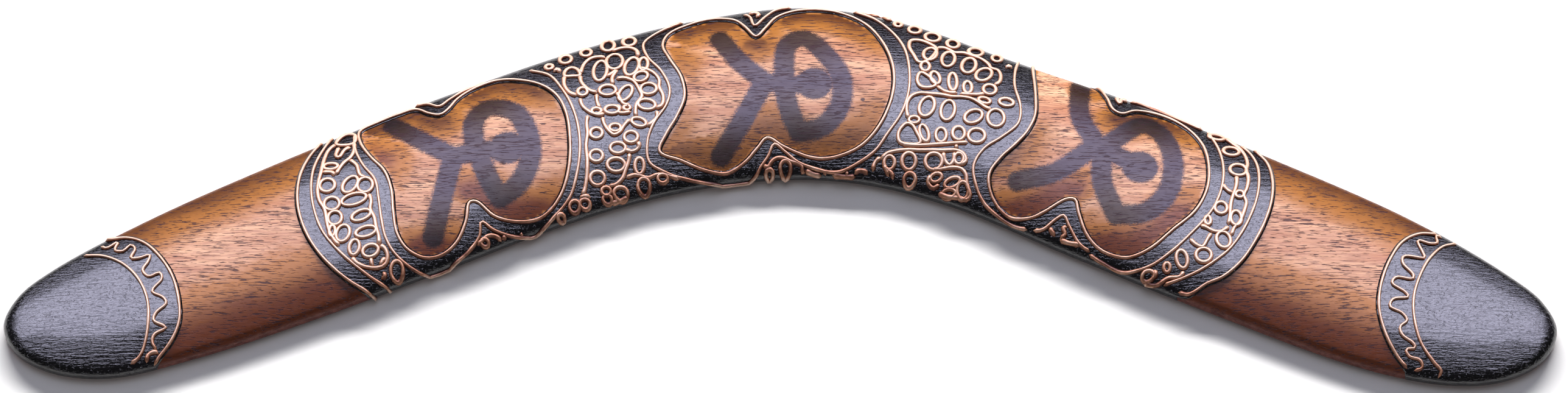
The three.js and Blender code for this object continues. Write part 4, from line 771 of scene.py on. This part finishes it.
class Nodes:
    """Adds and joins nodes in one material."""

    def __init__(self, name):
        self.material = bpy.data.materials.new(name)
        self.material.use_nodes = True
        self.tree = self.material.node_tree
        self.shader = self.tree.nodes["Principled BSDF"]

    def add(self, kind, inputs=None, **settings):
        node = self.tree.nodes.new(kind)
        for key, value in settings.items():
            setattr(node, key, value)
        for key, value in (inputs or {}).items():
            self.feed(node.inputs[key], value)
        return node

    def shade(self, inputs):
        for key, value in inputs.items():
            self.feed(self.shader.inputs[key], value)

    def feed(self, socket, value):
        if isinstance(value, bpy.types.NodeSocket):
            self.tree.links.new(value, socket)
        else:
            socket.default_value = value

    def position(self, scale):
        where = self.add("ShaderNodeTexCoord")
        moved = self.add("ShaderNodeMapping", {"Vector": where.outputs["Object"], "Scale": scale})
        return moved.outputs["Vector"]

    def noise(self, scale, detail=2.0, roughness=0.5):
        inputs = {"Vector": self.position(scale), "Scale": 1.0, "Detail": detail, "Roughness": roughness}
        return self.add("ShaderNodeTexNoise", inputs).outputs["Fac"]

    def ramp(self, value, low, high, start=0.0, end=1.0):
        inputs = {"Value": value, "From Min": low, "From Max": high, "To Min": start, "To Max": end}
        return self.add("ShaderNodeMapRange", inputs, interpolation_type="SMOOTHSTEP").outputs[0]

    def math(self, operation, *values):
        node = self.add("ShaderNodeMath", dict(enumerate(values)), operation=operation)
        return node.outputs[0]

    def wavering(self, value, noise, size):
        """A value moved up or down by a noise, over a range of this size."""
        return self.math("ADD", value, self.math("MULTIPLY_ADD", noise, size, -size / 2))

    def attribute(self, name):
        return self.add("ShaderNodeAttribute", attribute_name=name).outputs["Fac"]

    def mix(self, share, a, b):
        node = self.add("ShaderNodeMix", data_type="RGBA")
        self.feed(node.inputs[0], share)
        self.feed(node.inputs[6], a)
        self.feed(node.inputs[7], b)
        return node.outputs[2]

    def bump(self, height, strength, distance, below=None):
        inputs = {"Height": height, "Strength": strength, "Distance": distance * MM}
        if below is not None:
            inputs["Normal"] = below
        return self.add("ShaderNodeBump", inputs).outputs["Normal"]


def srgb(red, green, blue):
    """A colour given as 0 to 255 on screen, as the linear values a shader takes."""
    def linear(c):
        c /= 255
        return c / 12.92 if c <= 0.04045 else ((c + 0.055) / 1.055) ** 2.4
    return (linear(red), linear(green), linear(blue), 1.0)


def wood_material():
    """Varnished pale hardwood: streaky figure, dark open pores, a stained border and sprayed black
    figures with a painted lilac reflection.
    """
    n = Nodes("varnished_wood")
    figure = n.noise((22, 260, 120), 4, 0.6)
    colour = n.mix(n.ramp(figure, 0.32, 0.68), srgb(184, 126, 96), srgb(222, 172, 140))
    fibres = n.noise((180, 2600, 1800), 3, 0.6)
    colour = n.mix(n.ramp(fibres, 0.42, 0.66, 0, 0.5), colour, srgb(132, 78, 60))

    mottle = n.noise((420, 900, 700), 3, 0.7)
    patches = n.noise((70, 160, 120), 3, 0.55)
    shift = n.wavering(n.math("MULTIPLY_ADD", patches, 0.5, -0.25), mottle, 0.3)
    for name, tone, low, high in (
        ("golden", srgb(156, 98, 38), 0.1, 0.62),
        ("golden", srgb(82, 44, 18), 0.55, 1.1),
        ("dark", srgb(170, 108, 50), 0.1, 0.45),
        ("dark", srgb(108, 54, 30), 0.4, 0.95),
    ):
        amount = n.math("ADD", n.attribute(name), n.math("MULTIPLY", shift, 0.6))
        amount = n.math("MULTIPLY", n.ramp(amount, low, high), n.ramp(n.attribute(name), 0.0, 0.1))
        colour = n.mix(amount, colour, tone)

    pore_field = n.noise((300, 3400, 2600), 2, 0.5)
    density = n.noise((60, 300, 200), 2, 0.5)
    pores = n.ramp(n.wavering(pore_field, density, 0.24), 0.57, 0.615)

    speckle = n.noise((2200, 2600, 2600), 2, 0.6)
    paint = n.wavering(n.attribute("spray"), speckle, 0.7)
    paint = n.math("MULTIPLY", n.ramp(paint, 0.3, 0.75), n.ramp(n.attribute("spray"), 0.02, 0.25))
    paint = n.math("MULTIPLY", paint, 0.93)
    # The figures' paint is black. Their lilac grey is a painted reflection, which gives way to black
    # round the limbs' ends.
    ink_and_painted_reflection = n.mix(n.attribute("painted_reflection_fade"), srgb(50, 49, 72), srgb(14, 11, 16))
    colour = n.mix(paint, colour, ink_and_painted_reflection)
    colour = n.mix(n.math("MULTIPLY", pores, 0.85), colour, srgb(50, 25, 32))
    for x, y, radius in KNOTS:
        near = n.add("ShaderNodeVectorMath", {0: n.position((1, 1, 0)), 1: (x * MM, y * MM, 0)},
                     operation="DISTANCE").outputs["Value"]
        ragged = n.math("MULTIPLY_ADD", mottle, radius * 0.9 * MM, near)
        knot = n.ramp(ragged, radius * 0.9 * MM, radius * 1.3 * MM, 0.9, 0)
        colour = n.mix(knot, colour, srgb(38, 16, 20))
    rim = n.mix(n.ramp(mottle, 0.3, 0.7), srgb(98, 54, 48), srgb(134, 84, 74))
    colour = n.mix(n.attribute("rim"), colour, rim)

    rough = n.ramp(mottle, 0.25, 0.75, 0.3, 0.48)
    grain = n.bump(fibres, 0.35, 0.06)
    n.shade({
        "Base Color": colour,
        "Roughness": n.math("MAXIMUM", rough, n.math("MULTIPLY", pores, 0.6)),
        "Specular IOR Level": 0.2,
        "Coat Weight": 0.1,
        "Coat Roughness": 0.22,
        "Normal": n.bump(n.math("SUBTRACT", 1.0, pores), 0.6, 0.12, grain),
    })
    return n.material


def lacquer_material():
    """Brushed-on black gloss: the wood's grain telegraphs through, with fine pits and dust."""
    n = Nodes("black_lacquer_gloss")
    streaks = n.noise((190, 1500, 1100), 3, 0.6)
    fine = n.noise((900, 2400, 2000), 2, 0.6)
    broad = n.noise((60, 110, 90), 2, 0.5)
    colour = n.mix(n.ramp(broad, 0.3, 0.7), srgb(10, 8, 11), srgb(18, 14, 19))
    dust = n.ramp(n.noise((2600, 2600, 2600), 1, 0.5), 0.72, 0.76)
    colour = n.mix(n.math("MULTIPLY", dust, 0.5), colour, srgb(120, 112, 124))
    waves = n.bump(streaks, 1.0, 0.2)
    pits = n.ramp(n.noise((1300, 1500, 1500), 2, 0.5), 0.3, 0.4)
    n.shade({
        "Base Color": colour,
        "Roughness": n.ramp(fine, 0.3, 0.75, 0.14, 0.26),
        "Specular IOR Level": 0.6,
        "Coat Weight": 0.5,
        "Coat Roughness": 0.12,
        "Normal": n.bump(pits, 0.9, 0.1, n.bump(fine, 0.8, 0.08, waves)),
    })
    return n.material


def copper_material():
    """Thick copper paint: a painted highlight lightens its crown, it is brown where it thins at the foot,
    and painted shade darkens it in patches towards the board's near edge.
    """
    n = Nodes("copper_paint_bead")
    painted_shading = n.noise((160, 220, 220), 3, 0.6)
    fine = n.noise((1400, 1400, 1400), 2, 0.6)
    # Lighter towards each bead's crown: a painted highlight.
    light = n.wavering(n.wavering(n.attribute("crown"), painted_shading, 0.7), fine, 0.3)
    # Painted shade on the copper towards the board's near edge, broken into patches by a noise.
    painted_near_shade = n.math("MULTIPLY", n.attribute("painted_near_shade"), n.ramp(painted_shading, 0.35, 0.65, 0.1, 0.75))
    light = n.math("SUBTRACT", light, painted_near_shade)
    colour = n.mix(n.ramp(light, 0.05, 0.6), srgb(96, 48, 30), srgb(188, 132, 102))
    # The palest tone, on the crown, is the painted highlight.
    colour = n.mix(n.ramp(light, 0.5, 0.95), colour, srgb(226, 190, 168))
    n.shade({
        "Base Color": colour,
        "Metallic": 0.25,
        "Roughness": n.ramp(fine, 0.3, 0.7, 0.32, 0.5),
        "Normal": n.bump(fine, 0.25, 0.05, n.bump(painted_shading, 0.3, 0.2)),
    })
    return n.material


WOOD = wood_material()
LACQUER = lacquer_material()
COPPER = copper_material()

# ------------------------------------------------------------------------------------ painted areas

LINE_PATHS = {name: spline(points, LINE_STEP) for name, points in OPEN_LINES.items()}
LINE_PATHS.update({name: spline(points, LINE_STEP, True) for name, points in CLOSED_LINES.items()})
CLOSED_NAMES = set(CLOSED_LINES)


def lip(name, side):
    """A copper line's path, moved sideways to where the lacquer under it ends."""
    path = LINE_PATHS[name]
    return path + sideways(path, name in CLOSED_NAMES) * side * SKIN_LIP


def inner_lip(name):
    """A window's border: its inner line, moved towards the window's middle."""
    path = LINE_PATHS[name]
    area = np.cross(path, np.roll(path, -1, 0)).sum()
    return lip(name, 1 if area > 0 else -1)


WINDOWS = [inner_lip(f"window_{k}_inner_line") for k in (1, 2)]
WINDOWS.append(np.vstack([inner_lip("window_3_inner_line"), [(79, 41), (74, 48), (68.5, 48)]]))

LEFT_TIP = np.vstack([lip("left_tip_outer_line", 1), [(-159, -75), (-230, -75), (-230, 20), (-174, 5)]])
RIGHT_TIP = np.vstack([lip("right_tip_outer_line", -1), [(161, -75), (230, -75), (230, 20), (171, 5)]])
MIDDLE = np.vstack([
    [(-116, 40), (-116, 22)], lip("left_band_outer_line", -1), [(-100, -50), (0, -60), (100, -50)],
    lip("right_band_outer_line", 1)[::-1], [(121, 22), (121, 40), (0, 90)],
])

# --------------------------------------------------------------------------------------- the board


def stain(plan):
    """How far each board point is stained golden and dark, by the border that it's near."""
    depth, foot, _ = depths(plan)
    up = np.where(foot[:, 1] > plan[:, 1], 1.0, 0.0)
    golden = up * np.clip(1.15 - depth / GOLDEN_FADE, 0, 1)
    dark = (1 - up) * np.clip(1.2 - depth / DARK_FADE, 0, 1.1)
    for number, window in enumerate(WINDOWS):
        inside = within(plan, window)
        near, edge, _ = nearest(plan[inside], window, closed=True)
        rise = (edge[:, 1] - plan[inside][:, 1]) / np.maximum(near, 0.3)
        upper = np.clip(1.2 - near / WINDOW_GOLDEN_FADE, 0, 1) * np.clip(rise * 1.2, 0.12, 1)
        lower = np.clip(1.2 - near / WINDOW_DARK_FADE, 0, 1) * np.clip(-rise * 1.2, 0, 1)
        golden[inside] = upper + lower * (0.95 if number == 1 else 0)
        dark[inside] = lower * (0.25 if number == 1 else 1)
    return golden, dark


def sprayed(plan):
    """How heavily each board point is sprayed, and how far the painted lilac reflection on the spray
    gives way to black there.
    """
    spray = np.zeros(len(plan))
    painted_reflection_fade = np.zeros(len(plan))
    for figure in FIGURES:
        for limb in figure["limbs"]:
            near = nearest(plan, spline(limb, LIMB_STEP))[0]
            spray = np.maximum(spray, np.clip(((LIMB_WIDTH + LIMB_BLUR) / 2 - near) / LIMB_BLUR, 0, 1))
        near = np.linalg.norm(plan - figure["head"], axis=1)
        spray = np.maximum(spray, np.clip((HEAD_RADIUS + HEAD_BLUR / 2 - near) / HEAD_BLUR, 0, 1))
        # Round each limb's end the painted reflection gives way to black.
        for end in figure["ends"]:
            near = np.linalg.norm(plan - end, axis=1)
            painted_reflection_fade = np.maximum(painted_reflection_fade, np.clip(1.35 - near / PAINTED_REFLECTION_FADE, 0, 1))
    return spray, painted_reflection_fade


def make_board():
    """The wooden board, with its stain and spray stored at its mesh points."""
    turns = np.linspace(0, math.pi, 12)
    rings = [(rim_ring(EDGE_RADIUS * (1 - turn)), True) for turn in turns]
    loose = grid(WOOD_GRID, (-200, -57), (200, 57))
    loose = loose[depths(loose)[0] > EDGE_RADIUS + 0.45]
    edge = rings[-1][0]
    plan, faces = triangles(rings, loose, lambda centres: within(centres, edge))
    top = placed(plan, 0.0)
    depth = depths(plan)[0]
    floor = depth < EDGE_RADIUS * (1 - math.pi) + 1e-3
    top[floor, 2] = 0.0

    # The flat underside closes the last ring.
    ring = np.flatnonzero(floor)
    _, foot, span = nearest(plan[ring], edge, True)
    order = ring[np.argsort(span + np.linalg.norm(foot - edge[span], axis=1) / 10)]
    faces = [*faces.tolist(), order.tolist()]
    golden, dark = stain(top[:, :2])
    spray, painted_reflection_fade = sprayed(top[:, :2])
    attributes = {
        "golden": golden, "dark": dark, "spray": spray, "painted_reflection_fade": painted_reflection_fade,
        "rim": np.clip((0.9 - depth) / 1.2, 0, 1),
    }
    board = new_piece("board", top, faces, WOOD, attributes)
    return cut_at(board, BOARD_SEAMS)


# ------------------------------------------------------------------------------------- the lacquer


def make_skin(name, area, holes=(), seams=()):
    """A lacquer skin over a plan area, wrapped round the rim, without its holes."""
    edge = rim_ring(SKIN_WRAP)
    rings = [(rim_ring(depth), True) for depth in (SKIN_WRAP, -0.6, 0.1, 0.8, 1.5, 2.6)]
    borders = [(unrolled(area), True), *[(unrolled(hole), True) for hole in holes]]
    loose = grid(SKIN_GRID, area.min(0).clip(-200, 200), area.max(0).clip(-200, 200))
    loose = loose[(depths(loose)[0] > 3.4) & within(loose, area)]
    loose = loose[np.min([nearest(loose, path, True)[0] for path, _ in borders], axis=0) > 0.5]
    outline = borders[0][0]

    def keep(centres):
        inside = within(centres, edge) & within(centres, outline)
        for hole, _ in borders[1:]:
            inside &= ~within(centres, hole)
        return inside

    plan, faces = triangles([*rings, *borders], loose, keep)
    upper = placed(plan, SKIN_LIFT)
    lower = placed(plan, -SKIN_SINK)
    skin = new_piece(name, np.vstack([upper, lower]), closed_skin(faces, len(plan)), LACQUER)
    return cut_at(skin, seams) if seams else [skin]


# ------------------------------------------------------------------------------------- the copper


def ellipse(x, y, across, up, tilt):
    """A small ring, as an even plan path."""
    count = max(10, int(math.pi * (across + up) / LACE_STEP))
    angle = np.linspace(0, 2 * math.pi, count, endpoint=False)
    turn = math.radians(tilt)
    local = np.stack([np.cos(angle) * across, np.sin(angle) * up], axis=1)
    spin = np.array([[math.cos(turn), math.sin(turn)], [-math.sin(turn), math.cos(turn)]])
    return local @ spin + (x, y)


def make_lines():
    """One piped piece for each main line, by the line's name."""
    pieces = {}
    for name, path in LINE_PATHS.items():
        beads = [(unrolled(path), name in CLOSED_NAMES, LINE_WIDTH, LINE_HEIGHT)]
        pieces[name] = piped(f"{name}_bead", beads, COPPER)
    return pieces


def make_lace():
    """One piped piece for each group of doodled rings, loops and strokes."""
    pieces = {}
    for name, group in LACE.items():
        paths = [(ellipse(*ring), True) for ring in group["rings"]]
        paths += [(spline(loop, LACE_STEP, True), True) for loop in group["loops"]]
        paths += [(spline(stroke, LACE_STEP), False) for stroke in group["strokes"]]
        beads = [(unrolled(path), closed, LACE_WIDTH, LACE_HEIGHT) for path, closed in paths]
        pieces[name] = piped(f"{name}_beads", beads, COPPER)
    return pieces


def stand_for(pieces, prefix):
    """These pieces ride on the board and stand for the CAD nodes whose names start with prefix."""
    nodes = [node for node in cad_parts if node.startswith(prefix)]
    for piece in pieces:
        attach(piece, "root")
        if nodes:
            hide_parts(*nodes)


board = make_board()
stand_for(board, "wooden_blade")

skins = {
    "left_tip_lacquer": make_skin("left_tip_skin", LEFT_TIP),
    "middle_lacquer": make_skin("middle_skin", MIDDLE, WINDOWS, SKIN_SEAMS),
    "right_tip_lacquer": make_skin("right_tip_skin", RIGHT_TIP),
}
for node, pieces in skins.items():
    stand_for(pieces, node)

for name, piece in {**make_lines(), **make_lace()}.items():
    stand_for([piece], name)

# -------------------------------------------------------------------- floor, lights and the camera

CENTRE = (0, 0, 0.005)
FLOOR_REACH = 6
FLOOR_GAP = 0.0002


def aim(thing, place, target):
    thing.location = Vector(place)
    thing.rotation_mode = "QUATERNION"
    thing.rotation_quaternion = (Vector(target) - Vector(place)).to_track_quat("-Z", "Y")


def softbox(name, place, size, power, colour, seen="diffuse"):
    """A soft rectangular light aimed at the board, for diffuse or for glossy shading only."""
    light = bpy.data.lights.new(name, "AREA")
    light.shape = "RECTANGLE"
    light.size, light.size_y = size
    light.energy = power
    light.color = colour
    lamp = new_object(name, light)
    lamp.visible_diffuse = seen == "diffuse"
    lamp.visible_glossy = seen == "glossy"
    aim(lamp, place, CENTRE)


def make_floor():
    """A wide pale floor, a hair under the board."""
    n = Nodes("pale_floor")
    n.shade({"Base Color": (0.93, 0.93, 0.94, 1), "Roughness": 0.7})
    mesh = bpy.data.meshes.new("floor")
    r = FLOOR_REACH
    mesh.from_pydata([(-r, -r, 0), (r, -r, 0), (r, r, 0), (-r, r, 0)], [], [(0, 1, 2, 3)])
    mesh.materials.append(n.material)
    floor = new_object("floor", mesh)
    floor.location.z = -FLOOR_GAP


make_floor()
bpy.context.scene.view_settings.view_transform = "Standard"
world = bpy.data.worlds.new("studio")
bpy.context.scene.world = world
world.use_nodes = True
world.node_tree.nodes["Background"].inputs["Color"].default_value = (0.9, 0.92, 1.0, 1)
world.node_tree.nodes["Background"].inputs["Strength"].default_value = 0.06

softbox("reflected_sky", (0, 0.47, 0.95), (1.9, 0.7), 34, (0.78, 0.77, 1.0), seen="glossy")
softbox("back_key", (0.05, 1.17, 0.66), (1.4, 0.2), 50, (1.0, 0.98, 0.96))
softbox("overhead", (0, 0.1, 1.2), (0.8, 0.8), 1.6, (0.94, 0.95, 1.0))
softbox("front_fill", (-0.4, -0.9, 0.9), (0.9, 0.9), 1.2, (1.0, 0.96, 0.92))

CAMERA_HEIGHT_ANGLE = math.radians(62)  # above the floor
CAMERA_DISTANCE = 1.1
TARGET = Vector((0, -0.0027, 0.005))
lens = bpy.data.cameras.new("camera")
lens.sensor_width = 36
lens.lens = 96.7
lens.shift_x = 0.0025
camera = new_object("camera", lens)
bpy.context.scene.camera = camera
back = Vector((0, -math.cos(CAMERA_HEIGHT_ANGLE), math.sin(CAMERA_HEIGHT_ANGLE)))
aim(camera, TARGET + back * CAMERA_DISTANCE, TARGET)
